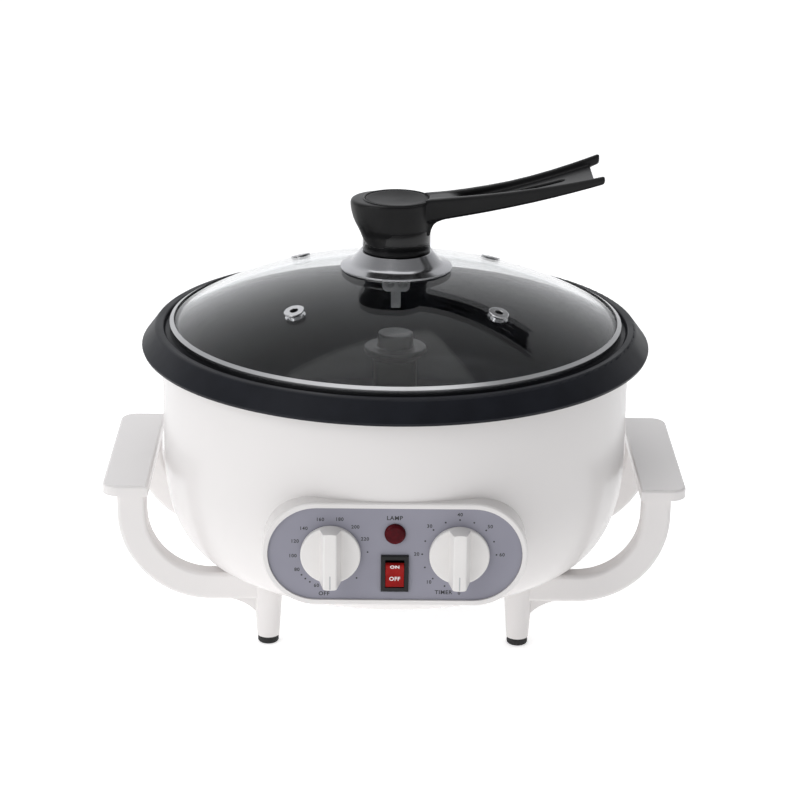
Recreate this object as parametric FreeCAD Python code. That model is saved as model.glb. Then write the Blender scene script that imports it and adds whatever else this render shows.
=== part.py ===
"""Home coffee bean roaster: white body on handle legs, driven stirrer, lift-off glass lid.

Millimetres. +Z is up, the front with the controls faces -Y, and the origin is on the
surface that the roaster stands on, under the axis of the pan.
"""

import FreeCAD, Part
import math
import os

from FreeCAD import Vector

# ---------------------------------------------------------------- clearances
SEAT_GAP = 0.3            # between curved faces that lie against each other
FACE_GAP = 0.1            # between flat faces of pieces that come apart
RUNNING_GAP = 0.05        # radial, between a turning shaft and its hole
SCREW_GAP = 0.15          # radial, between a screw and the hole that it passes
FASCIA_GAP = 0.15         # round a panel, a switch or a cap in its pocket
PASS = 1.0                # how far a cutting tool reaches past the face that it cuts
NEAR = 0.01               # how near to a plane an edge counts as lying in it

# ---------------------------------------------------------------- white body
BOWL_RADIUS = 134.5
BOWL_WALL = 2.5
BOWL_BOTTOM_Z = 43.0      # underside
BOWL_RIM_Z = 171.8        # top edge
BOWL_CURVE_TOP_Z = 100.0  # where the straight wall ends and the tapered bowl starts
BOWL_CURVE_DROP = 30.0    # how far the straight wall's direction carries into the curve
BOWL_CURVE_REACH = 22.0   # the same for the flat bottom
BOWL_SIDE_REACH = 32.5    # from the edge of the flat bottom out to the straight wall
BOWL_LIP_DEPTH = 2.5
PAN_HOLE_GAP = 2.5        # radial, between the pan and the lip that it sits on
SERVICE_RING = 34.0       # from the service hole out to the edge of the flat bottom

# ---------------------------------------------------------------- bottom cover
COVER_LAP = 10.0          # how far the cover reaches over the edge of the service hole
COVER_THICKNESS = 1.5
COVER_SCREW_COUNT = 4
COVER_SCREW_RADIUS = 1.5
COVER_SCREW_LENGTH = 8.0
COVER_HEAD_RADIUS = 3.0
COVER_HEAD_HEIGHT = 1.8
COVER_SLOT_COUNT = 12
COVER_SLOT_INNER = 34.0
COVER_SLOT_MARGIN = 8.0   # from the slots out to the edge of the service hole
COVER_SLOT_WIDTH = 4.0

# ---------------------------------------------------------------- pan
PAN_SHEET = 2.0
PAN_FLOOR_Z = 106.0       # inner floor
PAN_LIFT = 0.2            # between the bowl's rim and the underside of the ledge
PAN_CORNER = 18.0         # inner radius between floor and wall
PAN_TUBE_BORE = 6.0
PAN_TUBE_WALL = 2.0
PAN_TUBE_HEIGHT = 28.0
PAN_TUBE_FILLET = 3.0
RECESS_SETBACK = 1.9      # from the outer edge of the ledge out to the bowl's side
RECESS_DEPTH = 3.0        # from the ledge up to the crest
LEDGE_WIDTH = 8.6
RISER_LEAN = 1.0
CREST_REACH = 3.5         # how far the crest stands out from the bowl's side
CREST_ROUND = 2.5
CREST_INSET = 1.2
CREST_SAG = 0.6
BAND_REACH = 11.6         # the same for the widest edge of the overhanging band
BAND_DROP = 10.8          # from the crest down to the band's edge
BAND_TURN_IN = 2.6
BAND_EDGE_BEVEL = 0.8
BAND_EDGE_RISE = 1.0
FOLD_ROUND = 1.2          # outer side of the folds in the sheet
FOLD_ROUND_INNER = 0.8    # inner side of the same folds
EDGE_ROUND = 0.6
LIP_ROUND = 0.5

# ---------------------------------------------------------------- side handles and feet
FINGER_GAP = 5.0          # between the bowl's side and the grip
GRIP_WIDTH = 26.0
GRIP_TOP_Z = 97.5
GRIP_THICKNESS = 6.0
GRIP_CORNER = 9.0
GRIP_EDGE_ROUND = 1.5
GRIP_OVERHANG = 7.5       # how far the grip reaches past the legs' line, at each end
ARM_INSET = 29.7          # from the bowl's side in to the centre of the arms' quarter turn
ARM_CENTRE_Z = 80.0
ARM_OUTER_RADIUS = 52.3
ARM_THICKNESS = 16.3
ARM_WIDTH = 13.0
ARM_EDGE_ROUND = 2.5
ARM_LEG_STEP = 1.0        # how much nearer to the middle the arms are than the legs
GUSSET_REACH = 24.0       # along the underside of the arm, from the leg's axis
GUSSET_DROP = 9.0         # down the leg, from the underside of the arm
GUSSET_HOLLOW = 2.0       # how far its free side curves in from a straight line
GUSSET_WIDTH = 7.0
LEG_INSET = 62.5          # from the bowl's side in to the legs
LEG_Y = 55.0
LEG_TOP_RADIUS = 8.9
LEG_FOOT_RADIUS = 6.4
PAD_RADIUS = 6.0
PAD_HEIGHT = 4.5
PAD_ROUND = 1.5
PAD_STEM_RADIUS = 2.5
PAD_STEM_LENGTH = 6.0
HANDLE_SCREW_RADIUS = 2.0
HANDLE_SCREW_DEPTH = 15.0
HANDLE_HEAD_RADIUS = 3.6
HANDLE_HEAD_HEIGHT = 2.4

# ---------------------------------------------------------------- control panel
PANEL_REACH = 0.5         # how far the fascia's face stands out from the bowl's side
PANEL_Z = 88.0
FASCIA_WIDTH = 137.0
FASCIA_HEIGHT = 53.0
FASCIA_THICKNESS = 2.0
FRAME_WALL = 3.2
FRAME_PROUD = 1.3
FRAME_ROUND = 1.2
FRAME_LEDGE = 3.0         # what the fascia rests on, inside the frame
FRAME_DEPTH = 48.3
KNOB_END_GAP = 33.8       # from each knob's axis to the end of the fascia
KNOB_RADIUS = 16.25
KNOB_DISC = 3.0
KNOB_STANDOFF = 0.4
KNOB_BAR_HEIGHT = 9.8
KNOB_BAR_ROOT = 12.0
KNOB_BAR_TIP = 7.0
KNOB_BAR_ROUND = 1.2
KNOB_BAR_INSET = 0.2
KNOB_EDGE_ROUND = 1.0
KNOB_FRONT_WALL = 2.4     # between the end of the shaft and the front of the bar
SHAFT_RADIUS = 3.0
SHAFT_FLAT = 1.0          # depth of the flat on the control shafts
SHAFT_IN_BODY = 9.0
THERMOSTAT_RADIUS = 17.0
THERMOSTAT_DEPTH = 20.0
TIMER_WIDTH = 38.0
TIMER_HEIGHT = 34.0
TIMER_DEPTH = 21.0
BULB_RADIUS = 3.2
BULB_LENGTH = 24.0
BULB_HEATER_GAP = 25.0    # from the bulb out to the middle of the heater
CAPILLARY_RADIUS = 0.8
CAPILLARY_REFLECTOR_GAP = 1.0
CAPILLARY_BEND = 4.0      # how far the tube stands off behind the thermostat

# ---------------------------------------------------------------- lamp and switch
LAMP_RISE = 11.8          # above the middle of the panel
LAMP_RADIUS = 5.75
LAMP_PROUD = 2.4
LAMP_ROUND = 1.92
LAMP_STEM_RADIUS = 4.0
LAMP_BODY_RADIUS = 5.2
LAMP_BODY_DEPTH = 14.0
SWITCH_DROP = 11.0        # below the middle of the panel
SWITCH_WIDTH = 15.0
SWITCH_HEIGHT = 21.0
SWITCH_FLANGE = 1.8
SWITCH_EDGE_ROUND = 0.6
SWITCH_BODY_WIDTH = 13.0
SWITCH_BODY_HEIGHT = 19.0
SWITCH_BODY_DEPTH = 17.0
SWITCH_WELL_DEPTH = 8.8   # behind the panel's face
ROCKER_WIDTH = 9.9
ROCKER_HEIGHT = 14.4
ROCKER_SIDE_GAP = 0.25
ROCKER_END_GAP = 0.9
ROCKER_TILT = 11.0
ROCKER_END_REACH = 4.0    # pivot to the rocker's ends, straight out
ROCKER_MIDDLE_REACH = 2.6
ROCKER_SHOULDER_REACH = 1.3
ROCKER_BACK_REACH = 2.0
ROCKER_BACK_HALF = 3.6    # half height of the rocker's back
ROCKER_PIVOT_DEPTH = 2.4  # pivot behind the front of the housing
ROCKER_PIN_RADIUS = 1.2
ROCKER_PIN_LENGTH = 0.8
ROCKER_HOLLOW_ROUND = 6.0
ROCKER_TIP_ROUND = 0.8
ROCKER_BACK_ROUND = 1.0

# ---------------------------------------------------------------- heating
ELEMENT_WALL_GAP = 44.0   # from the middle of the heater out to the pan's wall
ELEMENT_RADIUS = 3.25
ELEMENT_SWEEP = 330.0
ELEMENT_TAIL = 16.0
CLAMP_COUNT = 3
CLAMP_START_ANGLE = -30.0
CLAMP_LENGTH = 10.0
CLAMP_SHEET = 1.2
REFLECTOR_DROP = 14.0     # from the pan's underside down to the reflector's
REFLECTOR_SHEET = 1.0
REFLECTOR_SIDE_GAP = 30.5
REFLECTOR_HOLE_GAP = 1.0  # radial, round the boss and the heater's tails
POST_ANGLES = (20.0, 160.0, 270.0)
POST_EDGE_GAP = 14.0      # from the posts out to the edge of the flat bottom
POST_RADIUS = 5.0
STUD_HEATER_GAP = 24.0    # from the studs out to the middle of the heater
STUD_SHOULDER_RADIUS = 4.0
STUD_RADIUS = 2.5
STUD_TAIL = 2.0           # below the nuts
STUD_NUT_RADIUS = 4.6
STUD_NUT_HEIGHT = 3.2
SPACER_RADIUS = 4.2
FUSE_RADIUS = 3.5
FUSE_LENGTH = 18.0
FUSE_X = 30.0
FUSE_HEATER_GAP = 16.0

# ---------------------------------------------------------------- drive
BRACKET_DROP = 12.0       # from the reflector's underside down to the bracket's
BRACKET_SHEET = 2.0
BRACKET_MARGIN = 8.0      # from the studs out to the bracket's edge
MOTOR_RADIUS = 30.0
MOTOR_HEIGHT = 27.0
MOTOR_BOSS_RADIUS = 9.0
MOTOR_BOSS_HEIGHT = 6.0
MOTOR_SCREW_X = 23.0
MOTOR_SCREW_RADIUS = 2.0
MOTOR_SCREW_LENGTH = 12.0
MOTOR_HEAD_RADIUS = 3.6
MOTOR_HEAD_HEIGHT = 2.4
DRIVE_RADIUS = 3.95
DRIVE_IN_MOTOR = 12.0
BUSH_FLANGE_RADIUS = 7.6
BUSH_FLANGE_HEIGHT = 1.2
TERMINAL_WIDTH = 34.0
TERMINAL_DEPTH = 14.0
TERMINAL_HEIGHT = 13.0
TERMINAL_EDGE_GAP = 18.0  # from the block out to the edge of the flat bottom
TERMINAL_WAYS = 3
TERMINAL_WELL_RADIUS = 2.2

# ---------------------------------------------------------------- stirrer
HUB_TOP_DROP = 4.0        # from the pan's ledge down to the top of the hub
HUB_TOP_RADIUS = 10.3
HUB_TOP_HEIGHT = 8.0
HUB_TOP_ROUND = 1.2
HUB_FLANGE_RADIUS = 18.0
HUB_FLANGE_HEIGHT = 3.0
HUB_FLANGE_TAPER = 4.0
HUB_NECK_RADIUS = 12.5
HUB_NECK_TAPER = 3.0
HUB_FOOT_RADIUS = 14.5
HUB_EDGE_ROUND = 1.0
HUB_INNER_ROUND = 0.8
HUB_FLOOR_GAP = 3.0       # from the pan's floor to the stirrer
HUB_TUBE_GAP = 1.0        # radial, from the pan's tube to the hub
HUB_CAP_WALL = 3.0        # above the end of the drive shaft
BLADE_COUNT = 2
BLADE_START_ANGLE = 35.0
BLADE_SWEEP_BACK = 12.0
BLADE_WALL_GAP = 24.0     # from the tip out to the pan's wall
BLADE_SHEET = 3.0
BLADE_HEIGHT = 14.0
BLADE_COLLAR_WALL = 3.0

# ---------------------------------------------------------------- mains inlet
INLET_Z = 78.0
INLET_REACH = 1.5         # how far the boss's face stands out from the bowl's side
INLET_BOSS_WIDTH = 40.0
INLET_BOSS_HEIGHT = 32.0
INLET_BOSS_ROUND = 4.0
INLET_FLANGE_WIDTH = 31.0
INLET_FLANGE_HEIGHT = 24.5
INLET_FLANGE = 2.5
INLET_FLANGE_ROUND = 3.0
INLET_BODY_WIDTH = 27.0
INLET_BODY_HEIGHT = 20.0
INLET_BODY_DEPTH = 24.0
INLET_MOUTH_WIDTH = 24.0
INLET_MOUTH_HEIGHT = 16.5
INLET_MOUTH_DEPTH = 18.0
PIN_WIDTH = 2.0
PIN_HEIGHT = 4.0
PIN_SPACING = 7.0
PIN_EARTH_RISE = 2.0
PIN_TIP_SETBACK = 4.0
PIN_TAIL = 4.0            # behind the inlet's body

# ---------------------------------------------------------------- lid
LID_PLAY = 2.6            # radial, between the steel band and the edge of the ledge
RIM_SHEET = 0.8
RIM_COVER = 1.6           # how far the band reaches over the glass
GLASS_EDGE_GAP = 0.4
GLASS_RISE = 33.0
GLASS_THICKNESS = 4.0
GLASS_BORE = 4.0
VENT_COUNT = 4
VENT_CIRCLE = 80.0
VENT_HOLE = 4.0
VENT_FLANGE = 5.8
VENT_BORE = 2.3
VENT_LIP = 0.8
VENT_ROUND = 0.5
VENT_BORE_ROUND = 0.3
CONE_RADIUS = 32.0
CONE_EDGE = 1.0
CONE_EDGE_ROUND = 0.3
CONE_STEP_REACH = 6.0     # from the rim in to where the cone starts to rise
CONE_STEP_RISE = 2.2
CONE_SWEEP = 6.0
CONE_TOP_RADIUS = 20.5
CONE_TOP_ROUND = 0.4
CONE_RISE = 8.1           # from the top of the glass up to the knob
KNOB_HEIGHT = 31.5
KNOB_POST_RADIUS = 19.5
KNOB_FLARE_RADIUS = 24.6
KNOB_FLARE_HEIGHT = 19.5
KNOB_FLARE_HALF_WIDTH = 15.0
KNOB_FLARE_SETBACK = 1.0  # inside the post, where the thumb lip starts
KNOB_LIP_EDGE = 2.0
KNOB_LIP_ROUND = 1.0
CAP_RADIUS = 17.0
CAP_THICKNESS = 2.4
CAP_ROUND = 0.5
ARM_TIP_X = 118.0
ARM_TIP_RISE = 18.5       # above the knob's head
ARM_TIP_THICKNESS = 4.0
ARM_MIDDLE_X = 57.0
ARM_MIDDLE_RISE = 5.1
ARM_MIDDLE_THICKNESS = 9.2
ARM_ROOT_DROP = 1.0       # below the knob's head, on its axis
ARM_ROOT_THICKNESS = 13.0
ARM_ROOT_WIDTH = 20.0
ARM_TIP_WIDTH = 42.0
ARM_TIP_ROUND = 2.0
ARM_SPREAD_ROUND = 60.0
ARM_NOTCH_DEPTH = 6.0
ARM_SLOT_START_X = 38.0
ARM_SLOT_END_X = 97.0
ARM_SLOT_WIDTH = 5.0
LID_BOLT_RADIUS = 3.0
LID_BOLT_LENGTH = 24.0
LID_BOLT_HEAD_RADIUS = 8.0
LID_BOLT_HEAD_HEIGHT = 3.0
WASHER_RADIUS = 9.0
WASHER_THICKNESS = 1.0
BLOCK_WIDTH = 16.0
BLOCK_THICKNESS = 5.0
BLOCK_HEIGHT = 9.3
BLOCK_CORNER = 3.5
BAR_WIDTH = 5.7
BAR_THICKNESS = 1.4
BAR_IN_BLOCK = 5.0
BAR_DROP = 10.5           # below the block
BAR_CORNER = 0.8
BLOCK_SCREW_X = 3.6
BLOCK_SCREW_RISE = 5.5    # above the block's lower edge
BLOCK_SCREW_HEAD_RADIUS = 3.0
BLOCK_SCREW_HEAD_HEIGHT = 1.6
BLOCK_SCREW_RADIUS = 1.4
BLOCK_SCREW_LENGTH = 3.0

# ---------------------------------------------------------------- places worked out from the sizes
Z_AXIS = Vector(0, 0, 1)
Y_AXIS = Vector(0, 1, 0)
X_AXIS = Vector(1, 0, 0)
BOWL_FLAT_RADIUS = BOWL_RADIUS - BOWL_SIDE_REACH
BOWL_FLOOR_Z = BOWL_BOTTOM_Z + BOWL_WALL
SERVICE_HOLE_RADIUS = BOWL_FLAT_RADIUS - SERVICE_RING
COVER_RADIUS = SERVICE_HOLE_RADIUS + COVER_LAP
COVER_SCREW_CIRCLE = SERVICE_HOLE_RADIUS + COVER_LAP / 2
COVER_SLOT_OUTER = SERVICE_HOLE_RADIUS - COVER_SLOT_MARGIN
RECESS_RADIUS = BOWL_RADIUS - RECESS_SETBACK
PAN_RADIUS = RECESS_RADIUS - LEDGE_WIDTH
BOWL_LIP_RADIUS = PAN_RADIUS + PAN_SHEET + PAN_HOLE_GAP
CREST_RADIUS = BOWL_RADIUS + CREST_REACH
BAND_RADIUS = BOWL_RADIUS + BAND_REACH
LEDGE_Z = BOWL_RIM_Z + PAN_LIFT + PAN_SHEET
CREST_Z = LEDGE_Z + RECESS_DEPTH
BAND_EDGE_Z = CREST_Z - BAND_DROP
PAN_BASE_Z = PAN_FLOOR_Z - PAN_SHEET
PAN_TUBE_RADIUS = PAN_TUBE_BORE + PAN_TUBE_WALL
PAN_TUBE_TOP_Z = PAN_FLOOR_Z + PAN_TUBE_HEIGHT
GRIP_INNER_X = BOWL_RADIUS + FINGER_GAP
GRIP_OUTER_X = GRIP_INNER_X + GRIP_WIDTH
ARM_CENTRE_X = BOWL_RADIUS - ARM_INSET
LEG_X = BOWL_RADIUS - LEG_INSET
ARM_Y = LEG_Y - ARM_LEG_STEP
GRIP_DEPTH = 2 * (LEG_Y + GRIP_OVERHANG)
PANEL_Y = -BOWL_RADIUS - PANEL_REACH
FASCIA_BACK_Y = PANEL_Y + FASCIA_THICKNESS
FRAME_FRONT_Y = PANEL_Y - FRAME_PROUD
KNOB_X = FASCIA_WIDTH / 2 - KNOB_END_GAP
KNOB_BACK_Y = PANEL_Y - KNOB_STANDOFF
KNOB_DISC_Y = KNOB_BACK_Y - KNOB_DISC
KNOB_FRONT_Y = KNOB_DISC_Y - KNOB_BAR_HEIGHT
SHAFT_TIP_Y = KNOB_FRONT_Y + KNOB_FRONT_WALL
LAMP_Z = PANEL_Z + LAMP_RISE
SWITCH_Z = PANEL_Z - SWITCH_DROP
INLET_BOSS_Y = BOWL_RADIUS + INLET_REACH
ELEMENT_CIRCLE = PAN_RADIUS - ELEMENT_WALL_GAP
STUD_CIRCLE = ELEMENT_CIRCLE - STUD_HEATER_GAP
BULB_Y = -(ELEMENT_CIRCLE - BULB_HEATER_GAP)
FUSE_Y = ELEMENT_CIRCLE - FUSE_HEATER_GAP
POST_CIRCLE = BOWL_FLAT_RADIUS - POST_EDGE_GAP
TERMINAL_Y = BOWL_FLAT_RADIUS - TERMINAL_EDGE_GAP
REFLECTOR_RADIUS = BOWL_RADIUS - REFLECTOR_SIDE_GAP
REFLECTOR_Z = PAN_BASE_Z - REFLECTOR_DROP
REFLECTOR_TOP_Z = REFLECTOR_Z + REFLECTOR_SHEET
BRACKET_Z = REFLECTOR_Z - BRACKET_DROP
BRACKET_TOP_Z = BRACKET_Z + BRACKET_SHEET
BRACKET_RADIUS = STUD_CIRCLE + BRACKET_MARGIN
BOSS_TOP_Z = BRACKET_Z + MOTOR_BOSS_HEIGHT
HUB_TOP_Z = LEDGE_Z - HUB_TOP_DROP
HUB_BOTTOM_Z = PAN_FLOOR_Z + HUB_FLOOR_GAP
DRIVE_TOP_Z = HUB_TOP_Z - HUB_CAP_WALL
DRIVE_BORE_RADIUS = DRIVE_RADIUS + RUNNING_GAP
BLADE_LENGTH = PAN_RADIUS - BLADE_WALL_GAP
RIM_RADIUS = RECESS_RADIUS - LID_PLAY
LID_EDGE_Z = LEDGE_Z + FACE_GAP
GLASS_EDGE_Z = LID_EDGE_Z + RIM_SHEET
GLASS_RIM_RADIUS = RIM_RADIUS - RIM_SHEET - GLASS_EDGE_GAP
DOME_RADIUS = (GLASS_RIM_RADIUS ** 2 + GLASS_RISE ** 2) / (2 * GLASS_RISE)
DOME_TOP_Z = GLASS_EDGE_Z + GLASS_THICKNESS + GLASS_RISE
DOME_CENTRE_Z = DOME_TOP_Z - DOME_RADIUS
GLASS_UNDER_Z = DOME_TOP_Z - GLASS_THICKNESS
CONE_TOP_Z = DOME_TOP_Z + CONE_RISE
KNOB_HEAD_Z = CONE_TOP_Z + KNOB_HEIGHT
KNOB_FLARE_START_Z = KNOB_HEAD_Z - KNOB_FLARE_HEIGHT
ARM_TIP_Z = KNOB_HEAD_Z + ARM_TIP_RISE
ARM_MIDDLE_Z = KNOB_HEAD_Z + ARM_MIDDLE_RISE
ARM_ROOT_Z = KNOB_HEAD_Z - ARM_ROOT_DROP
WASHER_LOW_Z = GLASS_UNDER_Z - FACE_GAP - WASHER_THICKNESS
BLOCK_TOP_Z = WASHER_LOW_Z - LID_BOLT_HEAD_HEIGHT
BLOCK_BOTTOM_Z = BLOCK_TOP_Z - BLOCK_HEIGHT
BLOCK_SCREW_Z = BLOCK_BOTTOM_Z + BLOCK_SCREW_RISE
BAR_BOTTOM_Z = BLOCK_BOTTOM_Z - BAR_DROP


# ---------------------------------------------------------------- helpers
def ring_point(radius, angle, z):
    """A point on a level circle about the Z axis; the angle is in degrees from +X."""
    return Vector(radius * math.cos(math.radians(angle)), radius * math.sin(math.radians(angle)), z)


def cylinder(radius, start, length, axis=Z_AXIS):
    """A round bar from the point start, along axis."""
    return Part.makeCylinder(radius, length, start, axis)


def box(centre_x, centre_y, low_z, width, depth, height):
    """A box centred on a point in plan, standing on low_z."""
    corner = Vector(centre_x - width / 2, centre_y - depth / 2, low_z)
    return Part.makeBox(width, depth, height, corner)


def joined(shapes):
    """One solid from touching shapes, without the seams between them."""
    first = shapes[0]
    return first.fuse(shapes[1:]).removeSplitter()


def grouped(shapes):
    """Separate solids that share one node."""
    return Part.makeCompound(shapes)


def line(start, end):
    return Part.LineSegment(Vector(*start), Vector(*end)).toShape()


def bezier(points):
    curve = Part.BezierCurve()
    curve.setPoles([Vector(*p) for p in points])
    return curve.toShape()


def solid_of_turn(edges):
    """The solid that a closed outline in the XZ plane makes when it turns about the Z axis."""
    return Part.Face(Part.Wire(edges)).revolve(Vector(0, 0, 0), Z_AXIS, 360)


def rounded_outline(corners):
    """Edges of a closed outline. Each corner is (x, y, z, rounding), and 0 keeps it sharp."""
    points = [Vector(*c[:3]) for c in corners]
    edges = []
    runs = []
    for i, (_, _, _, radius) in enumerate(corners):
        here = points[i]
        back = (points[i - 1] - here).normalize()
        ahead = (points[(i + 1) % len(points)] - here).normalize()
        if radius == 0:
            runs.append((here, here))
            continue
        half_turn = back.getAngle(ahead) / 2
        reach = radius / math.tan(half_turn)
        bisector = (back + ahead).normalize()
        centre = here + bisector * (radius / math.sin(half_turn))
        start = here + back * reach
        end = here + ahead * reach
        edges.append(Part.Arc(start, centre - bisector * radius, end).toShape())
        runs.append((start, end))
    for i, (_, end) in enumerate(runs):
        start = runs[(i + 1) % len(runs)][0]
        if end.distanceToPoint(start) > 1e-6:
            edges.append(Part.LineSegment(end, start).toShape())
    return Part.sortEdges(edges)[0]


def turned(profile):
    """A solid of revolution from corners (radius, z, rounding)."""
    return solid_of_turn(rounded_outline([(r, 0, z, f) for r, z, f in profile]))


def stadium(width, height, front_y, depth, centre_z=PANEL_Z):
    """A bar with round ends, lying along X, from front_y backwards."""
    radius = height / 2
    straight = width - height
    middle = box(0, front_y + depth / 2, centre_z - radius, straight, depth, height)
    starts = [Vector(side * straight / 2, front_y, centre_z) for side in (-1, 1)]
    return joined([middle] + [cylinder(radius, start, depth, Y_AXIS) for start in starts])


def hexagon_nut(radius, bore, start, height, axis=Z_AXIS):
    """A six-sided nut of the given corner radius."""
    body = Part.makePolygon([
        ring_point(radius, 60 * i, 0)
        for i in range(7)
    ])
    nut = Part.Face(body).extrude(Vector(0, 0, height))
    nut = nut.cut(cylinder(bore, Vector(0, 0, -PASS), height + 2 * PASS))
    turn = FreeCAD.Rotation(Z_AXIS, axis)
    nut.Placement = FreeCAD.Placement(start, turn)
    return nut


def flatted_shaft(radius, flat, start_y, length, centre_x):
    """A control shaft along Y with a flat on its upper side."""
    bar = cylinder(radius, Vector(centre_x, start_y, PANEL_Z), length, Y_AXIS)
    width = 2 * (radius + PASS)
    cut = box(centre_x, start_y + length / 2, PANEL_Z + radius - flat, width, length + 2 * PASS, radius)
    return bar.cut(cut)


def dome(radius):
    return Part.makeSphere(radius, Vector(0, 0, DOME_CENTRE_Z))


def reach_along(edge, axis):
    """The lowest and highest place of an edge along an axis of the frame."""
    bounds = edge.BoundBox
    lows = {"X": bounds.XMin, "Y": bounds.YMin, "Z": bounds.ZMin}
    highs = {"X": bounds.XMax, "Y": bounds.YMax, "Z": bounds.ZMax}
    return lows[axis], highs[axis]


def edges_in_plane(shape, axis, value):
    """Edges that lie in the plane where the coordinate on axis is value."""
    found = []
    for edge in shape.Edges:
        low, high = reach_along(edge, axis)
        if abs(low - value) < NEAR and abs(high - value) < NEAR:
            found.append(edge)
    return found


def edges_along(shape, axis):
    """Edges that run only along an axis."""
    found = []
    for edge in shape.Edges:
        low, high = reach_along(edge, axis)
        if abs(edge.Length - (high - low)) < NEAR:
            found.append(edge)
    return found


def post_points():
    return [ring_point(POST_CIRCLE, angle, 0) for angle in POST_ANGLES]


def stud_points():
    return [ring_point(STUD_CIRCLE, angle, 0) for angle in POST_ANGLES]


def bowl_edges(outset):
    """The curved side of the bowl, moved outwards by outset, as (curve, bottom point, top point)."""
    wall = BOWL_RADIUS + outset
    flat_z = BOWL_BOTTOM_Z - outset
    bottom = (BOWL_FLAT_RADIUS, 0, flat_z)
    top = (wall, 0, BOWL_CURVE_TOP_Z)
    poles = [
        bottom,
        (BOWL_FLAT_RADIUS + BOWL_CURVE_REACH + outset, 0, flat_z),
        (wall, 0, BOWL_CURVE_TOP_Z - BOWL_CURVE_DROP - outset),
        top,
    ]
    return bezier(poles), bottom, top


def bowl_envelope(outset):
    """The full body of revolution inside the bowl's outer face, moved outwards by outset."""
    side, bottom, top = bowl_edges(outset)
    rim = (top[0], 0, BOWL_RIM_Z)
    edges = [
        side,
        line(top, rim),
        line(rim, (0, 0, BOWL_RIM_Z)),
        line((0, 0, BOWL_RIM_Z), (0, 0, bottom[2])),
        line((0, 0, bottom[2]), bottom),
    ]
    return solid_of_turn(Part.sortEdges(edges)[0])


# ---------------------------------------------------------------- body
def inlet_box(width, height, front_y, depth):
    """A box about the mains inlet's axis, from its front face towards the inside."""
    return box(0, front_y - depth / 2, INLET_Z - height / 2, width, depth, height)


def body_bowl():
    """White bowl with a lip for the pan, the frame of the panel and a flat boss for the inlet."""
    outside = bowl_envelope(0)
    cavity = bowl_envelope(-BOWL_WALL)
    frame_width = FASCIA_WIDTH + 2 * FRAME_WALL
    frame_height = FASCIA_HEIGHT + 2 * FRAME_WALL
    frame = stadium(frame_width, frame_height, FRAME_FRONT_Y, FRAME_DEPTH)
    frame = frame.makeFillet(FRAME_ROUND, edges_in_plane(frame, "Y", FRAME_FRONT_Y))
    boss = inlet_box(INLET_BOSS_WIDTH, INLET_BOSS_HEIGHT, INLET_BOSS_Y, INLET_BODY_DEPTH)
    boss = boss.makeFillet(INLET_BOSS_ROUND, edges_along(boss, "Y"))
    bowl = outside.fuse([frame, boss])
    lip_z = BOWL_RIM_Z - BOWL_LIP_DEPTH
    hollow = cavity.cut(cylinder(BOWL_RADIUS, Vector(0, 0, lip_z), BOWL_LIP_DEPTH + PASS))
    mouth = cylinder(BOWL_LIP_RADIUS, Vector(0, 0, lip_z - PASS), BOWL_LIP_DEPTH + 2 * PASS)
    below = Z_AXIS * (BOWL_BOTTOM_Z - PASS)
    through = BOWL_WALL + 2 * PASS
    service_hole = cylinder(SERVICE_HOLE_RADIUS, below, through)
    pocket_width = FASCIA_WIDTH + 2 * FASCIA_GAP
    pocket_height = FASCIA_HEIGHT + 2 * FASCIA_GAP
    pocket = stadium(pocket_width, pocket_height, FRAME_FRONT_Y - PASS, FASCIA_BACK_Y - FRAME_FRONT_Y + PASS)
    window_width = FASCIA_WIDTH - 2 * FRAME_LEDGE
    window_height = FASCIA_HEIGHT - 2 * FRAME_LEDGE
    window = stadium(window_width, window_height, FASCIA_BACK_Y - PASS, FRAME_DEPTH)
    hole_width = INLET_BODY_WIDTH + 2 * FASCIA_GAP
    hole_height = INLET_BODY_HEIGHT + 2 * FASCIA_GAP
    inlet_hole = inlet_box(hole_width, hole_height, INLET_BOSS_Y + PASS, INLET_BODY_DEPTH + 2 * PASS)
    screw_holes = [cylinder(HANDLE_SCREW_RADIUS + SCREW_GAP, p + below, through) for p in leg_points()]
    cover_hole = COVER_SCREW_RADIUS + SCREW_GAP
    screw_holes += [cylinder(cover_hole, p + below, through) for p in cover_screw_points()]
    return bowl.cut([hollow, mouth, service_hole, pocket, window, inlet_hole] + screw_holes).removeSplitter()


def cover_screw_points():
    return [ring_point(COVER_SCREW_CIRCLE, 360 / COVER_SCREW_COUNT * i, 0) for i in range(COVER_SCREW_COUNT)]


def bottom_cover():
    """Round plate under the service hole, with a ring of cooling slots."""
    low_z = BOWL_BOTTOM_Z - COVER_THICKNESS
    below = Z_AXIS * (low_z - PASS)
    through = COVER_THICKNESS + 2 * PASS
    plate = cylinder(COVER_RADIUS, Z_AXIS * low_z, COVER_THICKNESS)
    cuts = [cylinder(COVER_SCREW_RADIUS + SCREW_GAP, p + below, through) for p in cover_screw_points()]
    middle = (COVER_SLOT_INNER + COVER_SLOT_OUTER) / 2
    length = COVER_SLOT_OUTER - COVER_SLOT_INNER
    for i in range(COVER_SLOT_COUNT):
        slot = box(middle, 0, below.z, length, COVER_SLOT_WIDTH, through)
        slot.rotate(Vector(0, 0, 0), Z_AXIS, 360 / COVER_SLOT_COUNT * (i + 0.5))
        cuts.append(slot)
    return plate.cut(cuts)


def cover_screws():
    """Pan-head screws that hold the bottom cover from below."""
    low_z = BOWL_BOTTOM_Z - COVER_THICKNESS
    screws = []
    for p in cover_screw_points():
        head = cylinder(COVER_HEAD_RADIUS, p + Z_AXIS * (low_z - COVER_HEAD_HEIGHT), COVER_HEAD_HEIGHT)
        shank = cylinder(COVER_SCREW_RADIUS, p + Z_AXIS * low_z, COVER_SCREW_LENGTH)
        screws.append(joined([head, shank]))
    return grouped(screws)


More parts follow.
